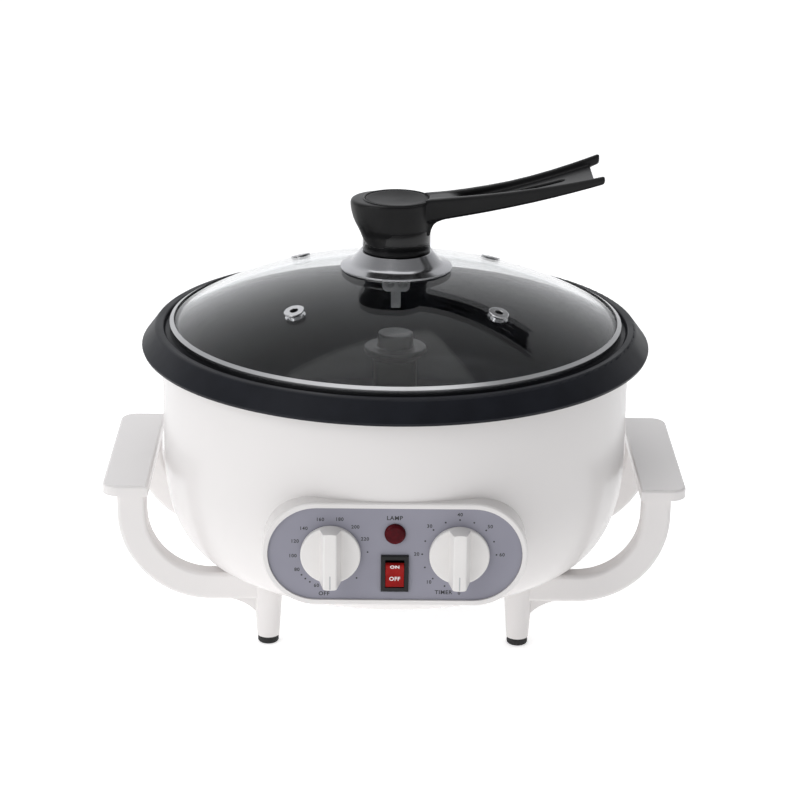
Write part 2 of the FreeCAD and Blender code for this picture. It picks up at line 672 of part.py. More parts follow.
# ---------------------------------------------------------------- handles and feet
def leg_points():
    return [Vector(x, y, 0) for x in (-LEG_X, LEG_X) for y in (-LEG_Y, LEG_Y)]


def handle_arm(side_y):
    """One arm: down from the grip, round a quarter turn, and in to the leg."""
    outer = ARM_OUTER_RADIUS
    inner = ARM_OUTER_RADIUS - ARM_THICKNESS
    back_y = side_y * ARM_Y - ARM_WIDTH / 2
    top_z = GRIP_TOP_Z - GRIP_THICKNESS / 2
    low_z = ARM_CENTRE_Z - outer
    inner_z = ARM_CENTRE_Z - inner

    def arc(radius):
        centre = Vector(ARM_CENTRE_X, back_y, ARM_CENTRE_Z)
        slope = (X_AXIS - Z_AXIS).normalize()
        places = [centre + direction * radius for direction in (X_AXIS, slope, -Z_AXIS)]
        return Part.Arc(*places).toShape()

    edges = [
        line((ARM_CENTRE_X + outer, back_y, top_z), (ARM_CENTRE_X + outer, back_y, ARM_CENTRE_Z)),
        arc(outer),
        line((ARM_CENTRE_X, back_y, low_z), (LEG_X, back_y, low_z)),
        line((LEG_X, back_y, low_z), (LEG_X, back_y, inner_z)),
        line((LEG_X, back_y, inner_z), (ARM_CENTRE_X, back_y, inner_z)),
        arc(inner),
        line((ARM_CENTRE_X + inner, back_y, ARM_CENTRE_Z), (ARM_CENTRE_X + inner, back_y, top_z)),
        line((ARM_CENTRE_X + inner, back_y, top_z), (ARM_CENTRE_X + outer, back_y, top_z)),
    ]
    arm = Part.Face(Part.Wire(Part.sortEdges(edges)[0])).extrude(Vector(0, ARM_WIDTH, 0))
    long_edges = edges_in_plane(arm, "Y", back_y) + edges_in_plane(arm, "Y", back_y + ARM_WIDTH)
    long_edges = [e for e in long_edges if e.BoundBox.XMax > LEG_X + NEAR and e.BoundBox.ZMin < top_z - NEAR]
    return arm.makeFillet(ARM_EDGE_ROUND, long_edges)


def arm_gusset(side_y):
    """Hollow-sided web that eases the corner between an arm's underside and its leg."""
    back_y = side_y * ARM_Y - GUSSET_WIDTH / 2
    low_z = ARM_CENTRE_Z - ARM_OUTER_RADIUS
    corner = Vector(LEG_X, back_y, low_z + ARM_EDGE_ROUND)
    end = Vector(LEG_X + GUSSET_REACH, back_y, low_z)
    foot = Vector(LEG_X + LEG_FOOT_RADIUS, back_y, low_z - GUSSET_DROP)
    inner_foot = Vector(LEG_X, back_y, foot.z)
    hollow = (end + foot) / 2 + (Z_AXIS - X_AXIS).normalize() * GUSSET_HOLLOW
    edges = [
        Part.Arc(end, hollow, foot).toShape(),
        line(foot, inner_foot),
        line(inner_foot, corner),
        line(corner, end),
    ]
    return Part.Face(Part.Wire(edges)).extrude(Vector(0, GUSSET_WIDTH, 0))


def side_handle(side_x):
    """White grip plate on two arms that end in two legs; side_x is -1 for left and 1 for right."""
    middle_x = GRIP_INNER_X + GRIP_WIDTH / 2
    grip = box(middle_x, 0, GRIP_TOP_Z - GRIP_THICKNESS, GRIP_WIDTH, GRIP_DEPTH, GRIP_THICKNESS)
    outer_corners = [e for e in edges_along(grip, "Z") if e.BoundBox.XMax > middle_x]
    grip = grip.makeFillet(GRIP_CORNER, outer_corners)
    grip = grip.makeFillet(GRIP_EDGE_ROUND, edges_in_plane(grip, "Z", GRIP_TOP_Z))
    pieces = [grip]
    holes = []
    for side_y in (-1, 1):
        pieces.append(handle_arm(side_y))
        pieces.append(arm_gusset(side_y))
        foot = Vector(LEG_X, side_y * LEG_Y, PAD_HEIGHT)
        leg_height = BOWL_BOTTOM_Z - PAD_HEIGHT
        pieces.append(Part.makeCone(LEG_FOOT_RADIUS, LEG_TOP_RADIUS, leg_height, foot))
        holes.append(cylinder(PAD_STEM_RADIUS, foot - Z_AXIS * PASS, PAD_STEM_LENGTH + PASS + SEAT_GAP))
        screw_end = Vector(LEG_X, side_y * LEG_Y, BOWL_BOTTOM_Z - HANDLE_SCREW_DEPTH - SEAT_GAP)
        holes.append(cylinder(HANDLE_SCREW_RADIUS, screw_end, HANDLE_SCREW_DEPTH + PASS))
    handle = joined(pieces).cut([bowl_envelope(0)] + holes)
    handle = handle.cut(bowl_side_clearance())
    if side_x < 0:
        handle = handle.mirror(Vector(0, 0, 0), X_AXIS)
    return handle


def bowl_side_clearance():
    """The space that the handles leave free round the curved side of the bowl."""
    space = bowl_envelope(SEAT_GAP)
    return space.cut(cylinder(BOWL_FLAT_RADIUS, Vector(0, 0, 0), BOWL_BOTTOM_Z))


def rubber_feet():
    """Black pads with a stem pressed into each leg."""
    pads = []
    for p in leg_points():
        pad = cylinder(PAD_RADIUS, p, PAD_HEIGHT)
        pad = pad.makeFillet(PAD_ROUND, edges_in_plane(pad, "Z", 0))
        stem = cylinder(PAD_STEM_RADIUS, p + Z_AXIS * (PAD_HEIGHT - PASS), PAD_STEM_LENGTH + PASS)
        pads.append(joined([pad, stem]))
    return grouped(pads)


def handle_screws():
    """Screws that pull the legs against the bowl's bottom, with their heads inside."""
    screws = []
    for p in leg_points():
        head = cylinder(HANDLE_HEAD_RADIUS, p + Z_AXIS * BOWL_FLOOR_Z, HANDLE_HEAD_HEIGHT)
        start = p + Z_AXIS * (BOWL_BOTTOM_Z - HANDLE_SCREW_DEPTH)
        shank = cylinder(HANDLE_SCREW_RADIUS, start, HANDLE_SCREW_DEPTH + BOWL_WALL)
        screws.append(joined([head, shank]))
    return grouped(screws)


# ---------------------------------------------------------------- pan and heating
def roasting_pan():
    """Pan with a centre tube, a recessed ledge for the lid and the wide overhanging band."""
    under_z = LEDGE_Z - PAN_SHEET
    riser = RECESS_RADIUS + RISER_LEAN
    crest_under = CREST_Z - PAN_SHEET - CREST_SAG
    outline = [
        (PAN_TUBE_BORE, PAN_TUBE_TOP_Z, 0),
        (PAN_TUBE_RADIUS, PAN_TUBE_TOP_Z, EDGE_ROUND),
        (PAN_TUBE_RADIUS, PAN_FLOOR_Z, PAN_TUBE_FILLET),
        (PAN_RADIUS, PAN_FLOOR_Z, PAN_CORNER),
        (PAN_RADIUS, LEDGE_Z, FOLD_ROUND),
        (RECESS_RADIUS, LEDGE_Z, FOLD_ROUND_INNER),
        (riser, CREST_Z, FOLD_ROUND),
        (CREST_RADIUS, CREST_Z, CREST_ROUND),
        (BAND_RADIUS, BAND_EDGE_Z, BAND_EDGE_BEVEL),
        (BAND_RADIUS - BAND_EDGE_BEVEL, BAND_EDGE_Z - PAN_SHEET, LIP_ROUND),
        (BAND_RADIUS - BAND_TURN_IN, BAND_EDGE_Z - BAND_EDGE_RISE, 0),
        (CREST_RADIUS - CREST_INSET, crest_under, FOLD_ROUND_INNER),
        (riser + PAN_SHEET, crest_under, FOLD_ROUND_INNER),
        (RECESS_RADIUS + PAN_SHEET, under_z, EDGE_ROUND),
        (PAN_RADIUS + PAN_SHEET, under_z, FOLD_ROUND_INNER),
        (PAN_RADIUS + PAN_SHEET, PAN_BASE_Z, PAN_CORNER + PAN_SHEET),
        (PAN_TUBE_BORE, PAN_BASE_Z, 0),
    ]
    return turned(outline)


def heating_element():
    """Tubular heater bent into an open ring, with two tails down through the reflector."""
    z = PAN_BASE_Z - SEAT_GAP - ELEMENT_RADIUS
    start_angle = 90 + (360 - ELEMENT_SWEEP) / 2
    start = ring_point(ELEMENT_CIRCLE, start_angle, z)
    direction = ring_point(1, start_angle + 90, 0)
    section = Part.Face(Part.Wire(Part.makeCircle(ELEMENT_RADIUS, start, direction)))
    pieces = [section.revolve(Vector(0, 0, 0), Z_AXIS, ELEMENT_SWEEP)]
    for end in element_ends(z):
        pieces.append(Part.makeSphere(ELEMENT_RADIUS, end))
        pieces.append(cylinder(ELEMENT_RADIUS, end - Z_AXIS * ELEMENT_TAIL, ELEMENT_TAIL))
    return joined(pieces)


def element_ends(z):
    spread = (360 - ELEMENT_SWEEP) / 2
    return [ring_point(ELEMENT_CIRCLE, 90 + side * spread, z) for side in (1, -1)]


def element_clamps():
    """Small straps that hold the heater ring against the pan's underside."""
    clamps = []
    inner_half = ELEMENT_RADIUS + SEAT_GAP
    outer_half = inner_half + CLAMP_SHEET
    depth = 2 * ELEMENT_RADIUS + 2 * SEAT_GAP
    for i in range(CLAMP_COUNT):
        low_z = PAN_BASE_Z - depth - CLAMP_SHEET
        strap = box(ELEMENT_CIRCLE, 0, low_z, 2 * outer_half, CLAMP_LENGTH, depth + CLAMP_SHEET)
        length = CLAMP_LENGTH + 2 * PASS
        channel = box(ELEMENT_CIRCLE, 0, low_z + CLAMP_SHEET, 2 * inner_half, length, depth + PASS)
        clamp = strap.cut(channel)
        clamp.rotate(Vector(0, 0, 0), Z_AXIS, CLAMP_START_ANGLE + 360 / CLAMP_COUNT * i)
        clamps.append(clamp)
    return grouped(clamps)


def heat_reflector():
    """Bright sheet disc between the heater and the electrical parts."""
    plate = cylinder(REFLECTOR_RADIUS, Vector(0, 0, REFLECTOR_Z), REFLECTOR_SHEET)
    below = Z_AXIS * (REFLECTOR_Z - PASS)
    through = REFLECTOR_SHEET + 2 * PASS
    cuts = [cylinder(MOTOR_BOSS_RADIUS + REFLECTOR_HOLE_GAP, below, through)]
    cuts += [cylinder(STUD_RADIUS + SCREW_GAP, p + below, through) for p in stud_points()]
    cuts += [cylinder(ELEMENT_RADIUS + REFLECTOR_HOLE_GAP, end, through) for end in element_ends(below.z)]
    return plate.cut(cuts)


def support_posts():
    """Posts from the bowl's floor up to the reflector."""
    height = REFLECTOR_Z - BOWL_FLOOR_Z
    return grouped([cylinder(POST_RADIUS, p + Z_AXIS * BOWL_FLOOR_Z, height) for p in post_points()])


def pan_studs():
    """Studs welded under the pan; their shoulders rest on the reflector."""
    nut_low_z = BRACKET_Z - STUD_NUT_HEIGHT
    studs = []
    for p in stud_points():
        shoulder = cylinder(STUD_SHOULDER_RADIUS, p + Z_AXIS * REFLECTOR_TOP_Z, PAN_BASE_Z - REFLECTOR_TOP_Z)
        end_z = nut_low_z - STUD_TAIL
        thread = cylinder(STUD_RADIUS, p + Z_AXIS * end_z, REFLECTOR_TOP_Z - end_z)
        studs.append(joined([shoulder, thread]))
    return grouped(studs)


def stud_spacers():
    """Sleeves on the studs between the reflector and the motor bracket."""
    height = REFLECTOR_Z - BRACKET_TOP_Z
    sleeves = []
    for p in stud_points():
        sleeve = cylinder(SPACER_RADIUS, p + Z_AXIS * BRACKET_TOP_Z, height)
        below = p + Z_AXIS * (BRACKET_TOP_Z - PASS)
        sleeves.append(sleeve.cut(cylinder(STUD_RADIUS + SCREW_GAP, below, height + 2 * PASS)))
    return grouped(sleeves)


def stud_nuts():
    """Nuts that clamp the motor bracket on the studs."""
    low = Z_AXIS * (BRACKET_Z - STUD_NUT_HEIGHT)
    bore = STUD_RADIUS + RUNNING_GAP
    return grouped([hexagon_nut(STUD_NUT_RADIUS, bore, p + low, STUD_NUT_HEIGHT) for p in stud_points()])


def thermal_fuse():
    """Cylindrical fuse against the underside of the reflector."""
    start = Vector(FUSE_X - FUSE_LENGTH / 2, FUSE_Y, REFLECTOR_Z - FUSE_RADIUS - FACE_GAP)
    return cylinder(FUSE_RADIUS, start, FUSE_LENGTH, X_AXIS)


def thermostat_bulb():
    """Sensing bulb under the pan, with its thin tube under the heater to the thermostat."""
    z = PAN_BASE_Z - SEAT_GAP - BULB_RADIUS
    start = Vector(-KNOB_X, BULB_Y, z)
    low_z = REFLECTOR_TOP_Z + CAPILLARY_REFLECTOR_GAP + CAPILLARY_RADIUS
    back_y = FASCIA_BACK_Y + THERMOSTAT_DEPTH
    entry_z = PANEL_Z + THERMOSTAT_RADIUS / 2
    stations = [
        start,
        Vector(-KNOB_X, BULB_Y, low_z),
        Vector(-KNOB_X, back_y + CAPILLARY_BEND, low_z),
        Vector(-KNOB_X, back_y + CAPILLARY_BEND, entry_z),
        Vector(-KNOB_X, back_y, entry_z),
    ]
    pieces = [cylinder(BULB_RADIUS, start, BULB_LENGTH, X_AXIS)]
    for here, there in zip(stations, stations[1:]):
        run = there - here
        pieces.append(Part.makeSphere(CAPILLARY_RADIUS, here))
        pieces.append(cylinder(CAPILLARY_RADIUS, here, run.Length, run))
    return joined(pieces)


# ---------------------------------------------------------------- drive
def motor_screw_points():
    return [Vector(side * MOTOR_SCREW_X, 0, 0) for side in (-1, 1)]


def motor_bracket():
    """Round plate under the reflector that carries the motor."""
    plate = cylinder(BRACKET_RADIUS, Vector(0, 0, BRACKET_Z), BRACKET_SHEET)
    below = Z_AXIS * (BRACKET_Z - PASS)
    through = BRACKET_SHEET + 2 * PASS
    cuts = [cylinder(MOTOR_BOSS_RADIUS + SEAT_GAP, below, through)]
    cuts += [cylinder(MOTOR_SCREW_RADIUS + SCREW_GAP, p + below, through) for p in motor_screw_points()]
    cuts += [cylinder(STUD_RADIUS + SCREW_GAP, p + below, through) for p in stud_points()]
    return plate.cut(cuts)


def gear_motor():
    """Geared motor as one closed block with a boss round its output hole."""
    body = cylinder(MOTOR_RADIUS, Vector(0, 0, BRACKET_Z - MOTOR_HEIGHT), MOTOR_HEIGHT)
    boss = cylinder(MOTOR_BOSS_RADIUS, Vector(0, 0, BRACKET_Z), MOTOR_BOSS_HEIGHT)
    output_hole = cylinder(DRIVE_BORE_RADIUS, Z_AXIS * (BOSS_TOP_Z - DRIVE_IN_MOTOR), DRIVE_IN_MOTOR + PASS)
    depth = MOTOR_SCREW_LENGTH - BRACKET_SHEET + SEAT_GAP
    low = Z_AXIS * (BRACKET_Z - depth)
    threads = [cylinder(MOTOR_SCREW_RADIUS, p + low, depth + PASS) for p in motor_screw_points()]
    return joined([body, boss]).cut([output_hole] + threads)


def motor_screws():
    screws = []
    for p in motor_screw_points():
        top = p + Vector(0, 0, BRACKET_TOP_Z)
        head = cylinder(MOTOR_HEAD_RADIUS, top, MOTOR_HEAD_HEIGHT)
        shank = cylinder(MOTOR_SCREW_RADIUS, top - Z_AXIS * MOTOR_SCREW_LENGTH, MOTOR_SCREW_LENGTH)
        screws.append(joined([head, shank]))
    return grouped(screws)


def drive_shaft():
    """Shaft from the motor up through the pan's tube to the stirrer."""
    start = Vector(0, 0, BOSS_TOP_Z - DRIVE_IN_MOTOR + SEAT_GAP)
    return cylinder(DRIVE_RADIUS, start, DRIVE_TOP_Z - start.z)


def shaft_bush():
    """Bush in the pan's tube; its flange lies on the tube's top edge."""
    low_z = PAN_BASE_Z
    sleeve = cylinder(PAN_TUBE_BORE - RUNNING_GAP, Vector(0, 0, low_z), PAN_TUBE_TOP_Z - low_z)
    flange = cylinder(BUSH_FLANGE_RADIUS, Vector(0, 0, PAN_TUBE_TOP_Z), BUSH_FLANGE_HEIGHT)
    length = PAN_TUBE_TOP_Z + BUSH_FLANGE_HEIGHT - low_z
    bore = cylinder(DRIVE_BORE_RADIUS, Z_AXIS * (low_z - PASS), length + 2 * PASS)
    return joined([sleeve, flange]).cut(bore)


def stirrer_hub():
    """Hub over the pan's tube: a foot, a neck, a wide collar and a round top."""
    flange_top_z = HUB_TOP_Z - HUB_TOP_HEIGHT
    flange_low_z = flange_top_z - HUB_FLANGE_HEIGHT
    foot_top_z = HUB_BOTTOM_Z + BLADE_HEIGHT
    outline = [
        (0, HUB_BOTTOM_Z, 0),
        (HUB_FOOT_RADIUS, HUB_BOTTOM_Z, 0),
        (HUB_FOOT_RADIUS, foot_top_z, HUB_EDGE_ROUND),
        (HUB_NECK_RADIUS, foot_top_z + HUB_NECK_TAPER, 0),
        (HUB_NECK_RADIUS, flange_low_z - HUB_FLANGE_TAPER, 0),
        (HUB_FLANGE_RADIUS, flange_low_z, 0),
        (HUB_FLANGE_RADIUS, flange_top_z, HUB_EDGE_ROUND),
        (HUB_TOP_RADIUS, flange_top_z, HUB_INNER_ROUND),
        (HUB_TOP_RADIUS, HUB_TOP_Z, HUB_TOP_ROUND),
        (0, HUB_TOP_Z, 0),
    ]
    cavity_top_z = PAN_TUBE_TOP_Z + BUSH_FLANGE_HEIGHT + HUB_TUBE_GAP
    cavity_radius = PAN_TUBE_RADIUS + HUB_TUBE_GAP
    cavity = cylinder(cavity_radius, Z_AXIS * (HUB_BOTTOM_Z - PASS), cavity_top_z - HUB_BOTTOM_Z + PASS)
    bore = cylinder(DRIVE_BORE_RADIUS, Vector(0, 0, HUB_BOTTOM_Z), DRIVE_TOP_Z - HUB_BOTTOM_Z)
    return turned(outline).cut([cavity, bore])


def stirrer_blades():
    """Swept paddles on a collar that grips the foot of the hub."""
    collar_inner = HUB_FOOT_RADIUS + RUNNING_GAP
    collar_outer = collar_inner + BLADE_COLLAR_WALL
    collar = cylinder(collar_outer, Vector(0, 0, HUB_BOTTOM_Z), BLADE_HEIGHT)
    pieces = [collar]
    reach = BLADE_LENGTH - collar_inner
    for i in range(BLADE_COUNT):
        blade = box(collar_inner + reach / 2, 0, HUB_BOTTOM_Z, reach, BLADE_SHEET, BLADE_HEIGHT)
        top_edges = edges_in_plane(blade, "Z", HUB_BOTTOM_Z + BLADE_HEIGHT)
        tip = [e for e in top_edges if e.BoundBox.XMin > BLADE_LENGTH - NEAR]
        blade = blade.makeFillet(BLADE_HEIGHT / 2, tip)
        blade.rotate(Vector(collar_inner, 0, 0), Z_AXIS, -BLADE_SWEEP_BACK)
        blade.rotate(Vector(0, 0, 0), Z_AXIS, BLADE_START_ANGLE + 360 / BLADE_COUNT * i)
        pieces.append(blade)
    hole = cylinder(collar_inner, Z_AXIS * (HUB_BOTTOM_Z - PASS), BLADE_HEIGHT + 2 * PASS)
    return joined(pieces).cut(hole)


# ---------------------------------------------------------------- control panel
def control_fascia():
    """Grey plate in the frame, with holes for the shafts, the lamp and the switch."""
    plate = stadium(FASCIA_WIDTH, FASCIA_HEIGHT, PANEL_Y, FASCIA_THICKNESS)
    deep = FASCIA_THICKNESS + 2 * PASS
    front = PANEL_Y - PASS
    shaft_starts = [Vector(x, front, PANEL_Z) for x in (-KNOB_X, KNOB_X)]
    cuts = [cylinder(SHAFT_RADIUS + SEAT_GAP, start, deep, Y_AXIS) for start in shaft_starts]
    cuts.append(cylinder(LAMP_STEM_RADIUS + RUNNING_GAP, Vector(0, front, LAMP_Z), deep, Y_AXIS))
    width = SWITCH_BODY_WIDTH + 2 * FASCIA_GAP
    height = SWITCH_BODY_HEIGHT + 2 * FASCIA_GAP
    cuts.append(box(0, front + deep / 2, SWITCH_Z - height / 2, width, deep, height))
    return plate.cut(cuts)


def control_shaft(centre_x):
    end_y = FASCIA_BACK_Y + SHAFT_IN_BODY
    return flatted_shaft(SHAFT_RADIUS, SHAFT_FLAT, SHAFT_TIP_Y, end_y - SHAFT_TIP_Y, centre_x)


def control_knob(centre_x):
    """White knob: a flat disc with a tapered grip bar across its face."""
    centre = Vector(centre_x, 0, PANEL_Z)
    disc = cylinder(KNOB_RADIUS, centre + Y_AXIS * KNOB_DISC_Y, KNOB_DISC, Y_AXIS)
    disc = disc.makeFillet(KNOB_EDGE_ROUND, edges_in_plane(disc, "Y", KNOB_DISC_Y))
    root = KNOB_BAR_ROOT / 2
    tip = KNOB_BAR_TIP / 2
    root_y = KNOB_DISC_Y + KNOB_EDGE_ROUND
    low_z = PANEL_Z - KNOB_RADIUS
    outline = [
        (centre_x - root, root_y, low_z, 0),
        (centre_x - tip, KNOB_FRONT_Y, low_z, KNOB_BAR_ROUND),
        (centre_x + tip, KNOB_FRONT_Y, low_z, KNOB_BAR_ROUND),
        (centre_x + root, root_y, low_z, 0),
    ]
    bar = Part.Face(Part.Wire(rounded_outline(outline))).extrude(Vector(0, 0, 2 * KNOB_RADIUS))
    reach = KNOB_BAR_HEIGHT + KNOB_DISC
    bar = bar.common(cylinder(KNOB_RADIUS - KNOB_BAR_INSET, centre + Y_AXIS * KNOB_FRONT_Y, reach, Y_AXIS))
    bore_y = SHAFT_TIP_Y - RUNNING_GAP
    bore_length = KNOB_BACK_Y - bore_y + PASS
    bore = flatted_shaft(SHAFT_RADIUS + RUNNING_GAP, SHAFT_FLAT, bore_y, bore_length, centre_x)
    return joined([disc, bar]).cut(bore)


def switched_body(body, centre_x):
    """A control's body with the running hole for its shaft."""
    start = Vector(centre_x, FASCIA_BACK_Y - PASS, PANEL_Z)
    return body.cut(cylinder(SHAFT_RADIUS + RUNNING_GAP, start, SHAFT_IN_BODY + SEAT_GAP + PASS, Y_AXIS))


def thermostat_body():
    """Round thermostat behind the left knob."""
    start = Vector(-KNOB_X, FASCIA_BACK_Y, PANEL_Z)
    return switched_body(cylinder(THERMOSTAT_RADIUS, start, THERMOSTAT_DEPTH, Y_AXIS), -KNOB_X)


def timer_body():
    """Clockwork timer behind the right knob."""
    middle_y = FASCIA_BACK_Y + TIMER_DEPTH / 2
    low_z = PANEL_Z - TIMER_HEIGHT / 2
    return switched_body(box(KNOB_X, middle_y, low_z, TIMER_WIDTH, TIMER_DEPTH, TIMER_HEIGHT), KNOB_X)


def lamp_lens():
    """Red lens with a domed front and a stem through the fascia."""
    front = PANEL_Y - LAMP_PROUD
    head = cylinder(LAMP_RADIUS, Vector(0, front, LAMP_Z), LAMP_PROUD, Y_AXIS)
    head = head.makeFillet(LAMP_ROUND, edges_in_plane(head, "Y", front))
    stem = cylinder(LAMP_STEM_RADIUS, Vector(0, PANEL_Y, LAMP_Z), FASCIA_THICKNESS, Y_AXIS)
    return joined([head, stem])


def lamp_body():
    return cylinder(LAMP_BODY_RADIUS, Vector(0, FASCIA_BACK_Y, LAMP_Z), LAMP_BODY_DEPTH, Y_AXIS)


def switch_pivot():
    return Vector(0, PANEL_Y - SWITCH_FLANGE + ROCKER_PIVOT_DEPTH, SWITCH_Z)


def rocker_housing():
    """Black switch housing with a framed front and an open well for the rocker."""
    front = PANEL_Y - SWITCH_FLANGE
    low_z = SWITCH_Z - SWITCH_HEIGHT / 2
    flange = box(0, front + SWITCH_FLANGE / 2, low_z, SWITCH_WIDTH, SWITCH_FLANGE, SWITCH_HEIGHT)
    flange = flange.makeFillet(SWITCH_EDGE_ROUND, edges_in_plane(flange, "Y", front))
    depth = SWITCH_BODY_DEPTH
    low_z = SWITCH_Z - SWITCH_BODY_HEIGHT / 2
    body = box(0, PANEL_Y + depth / 2, low_z, SWITCH_BODY_WIDTH, depth, SWITCH_BODY_HEIGHT)
    well_width = ROCKER_WIDTH + 2 * ROCKER_SIDE_GAP
    well_height = ROCKER_HEIGHT + 2 * ROCKER_END_GAP
    well_depth = SWITCH_FLANGE + SWITCH_WELL_DEPTH + PASS
    well_y = front - PASS + well_depth / 2
    well = box(0, well_y, SWITCH_Z - well_height / 2, well_width, well_depth, well_height)
    pin_reach = ROCKER_WIDTH + 2 * ROCKER_PIN_LENGTH + 2 * ROCKER_SIDE_GAP
    pin_start = switch_pivot() - X_AXIS * (pin_reach / 2)
    pin_hole = cylinder(ROCKER_PIN_RADIUS + RUNNING_GAP, pin_start, pin_reach, X_AXIS)
    return joined([flange, body]).cut([well, pin_hole])


def rocker():
    """Red rocker on two short pins, tilted so that its lower end is pressed in."""
    pivot = switch_pivot()
    half = ROCKER_HEIGHT / 2
    left_x = -ROCKER_WIDTH / 2
    corners = [
        (left_x, pivot.y + ROCKER_BACK_REACH, pivot.z - ROCKER_BACK_HALF, ROCKER_BACK_ROUND),
        (left_x, pivot.y - ROCKER_SHOULDER_REACH, pivot.z - half, ROCKER_BACK_ROUND),
        (left_x, pivot.y - ROCKER_END_REACH, pivot.z - half, ROCKER_TIP_ROUND),
        (left_x, pivot.y - ROCKER_MIDDLE_REACH, pivot.z, ROCKER_HOLLOW_ROUND),
        (left_x, pivot.y - ROCKER_END_REACH, pivot.z + half, ROCKER_TIP_ROUND),
        (left_x, pivot.y - ROCKER_SHOULDER_REACH, pivot.z + half, ROCKER_BACK_ROUND),
        (left_x, pivot.y + ROCKER_BACK_REACH, pivot.z + ROCKER_BACK_HALF, ROCKER_BACK_ROUND),
    ]
    paddle = Part.Face(Part.Wire(rounded_outline(corners))).extrude(Vector(ROCKER_WIDTH, 0, 0))
    pin_reach = ROCKER_WIDTH + 2 * ROCKER_PIN_LENGTH
    pins = cylinder(ROCKER_PIN_RADIUS, pivot - X_AXIS * (pin_reach / 2), pin_reach, X_AXIS)
    paddle = joined([paddle, pins])
    paddle.rotate(pivot, X_AXIS, ROCKER_TILT)
    return paddle


# ---------------------------------------------------------------- mains connection
def mains_inlet():
    """Appliance inlet: a flange on the bowl's rear boss and an open mouth."""
    outer_y = INLET_BOSS_Y + INLET_FLANGE
    flange = inlet_box(INLET_FLANGE_WIDTH, INLET_FLANGE_HEIGHT, outer_y, INLET_FLANGE)
    flange = flange.makeFillet(INLET_FLANGE_ROUND, edges_along(flange, "Y"))
    body = inlet_box(INLET_BODY_WIDTH, INLET_BODY_HEIGHT, INLET_BOSS_Y + PASS, INLET_BODY_DEPTH + PASS)
    mouth = inlet_box(INLET_MOUTH_WIDTH, INLET_MOUTH_HEIGHT, outer_y + PASS, INLET_MOUTH_DEPTH + PASS)
    return joined([flange, body]).cut([mouth] + inlet_pin_boxes(RUNNING_GAP))


def inlet_pin_boxes(gap):
    """The three contact pins, each widened by gap, from the mouth's floor to near its opening."""
    outer_y = INLET_BOSS_Y + INLET_FLANGE - PIN_TIP_SETBACK
    inner_y = INLET_BOSS_Y - INLET_BODY_DEPTH - PIN_TAIL
    middle_y = (outer_y + inner_y) / 2
    width = PIN_WIDTH + 2 * gap
    height = PIN_HEIGHT + 2 * gap
    pins = []
    for place, rise in ((-1, -PIN_EARTH_RISE), (0, PIN_EARTH_RISE), (1, -PIN_EARTH_RISE)):
        low_z = INLET_Z + rise - height / 2
        pins.append(box(place * PIN_SPACING, middle_y, low_z, width, outer_y - inner_y, height))
    return pins


def inlet_pins():
    return grouped(inlet_pin_boxes(0))


def terminal_block():
    """Screw terminal block on the bowl's floor."""
    block = box(0, TERMINAL_Y, BOWL_FLOOR_Z, TERMINAL_WIDTH, TERMINAL_DEPTH, TERMINAL_HEIGHT)
    step = TERMINAL_WIDTH / TERMINAL_WAYS
    low_z = BOWL_FLOOR_Z + TERMINAL_HEIGHT / 2
    wells = []
    for i in range(TERMINAL_WAYS):
        x = (i + 0.5) * step - TERMINAL_WIDTH / 2
        wells.append(cylinder(TERMINAL_WELL_RADIUS, Vector(x, TERMINAL_Y, low_z), TERMINAL_HEIGHT))
    return block.cut(wells)


# ---------------------------------------------------------------- lid
def dome_height(radius):
    """Height of the glass's outer face at a distance from the axis."""
    return DOME_CENTRE_Z + math.sqrt(DOME_RADIUS ** 2 - radius ** 2)


def vent_frame(shape, i):
    """Moves a shape made about the Z axis at the origin to vent number i, square to the glass."""
    angle = 360 / VENT_COUNT * (i + 0.5)
    lean = math.degrees(math.asin(VENT_CIRCLE / DOME_RADIUS))
    moved = shape.copy()
    moved.rotate(Vector(0, 0, 0), Y_AXIS, lean)
    moved.translate(Vector(VENT_CIRCLE, 0, dome_height(VENT_CIRCLE)))
    moved.rotate(Vector(0, 0, 0), Z_AXIS, angle)
    return moved


def lid_glass():
    """Domed glass with a centre hole and four vent holes."""
    outer = dome(DOME_RADIUS)
    shape = outer.cut(dome(DOME_RADIUS - GLASS_THICKNESS))
    shape = shape.common(cylinder(GLASS_RIM_RADIUS, Vector(0, 0, GLASS_EDGE_Z), 2 * GLASS_RISE))
    cuts = [cylinder(GLASS_BORE, Vector(0, 0, GLASS_EDGE_Z), 2 * GLASS_RISE)]
    vent = cylinder(VENT_HOLE, -Z_AXIS * 2 * GLASS_THICKNESS, 3 * GLASS_THICKNESS)
    cuts += [vent_frame(vent, i) for i in range(VENT_COUNT)]
    return shape.cut(cuts)


def lid_rim():
    """Steel band folded round the edge of the glass."""
    edge = Z_AXIS * LID_EDGE_Z
    ring = cylinder(RIM_RADIUS, edge, GLASS_RISE)
    inner = RIM_RADIUS - RIM_COVER - RIM_SHEET
    ring = ring.cut(cylinder(inner, edge - Z_AXIS * PASS, GLASS_RISE + 2 * PASS))
    ring = ring.common(dome(DOME_RADIUS + RIM_SHEET + FACE_GAP))
    glass_space = dome(DOME_RADIUS + FACE_GAP).cut(dome(DOME_RADIUS - GLASS_THICKNESS - FACE_GAP))
    low = Z_AXIS * (GLASS_EDGE_Z - FACE_GAP)
    glass_space = glass_space.common(cylinder(GLASS_RIM_RADIUS + FACE_GAP, low, 2 * GLASS_RISE))
    return ring.cut(glass_space)


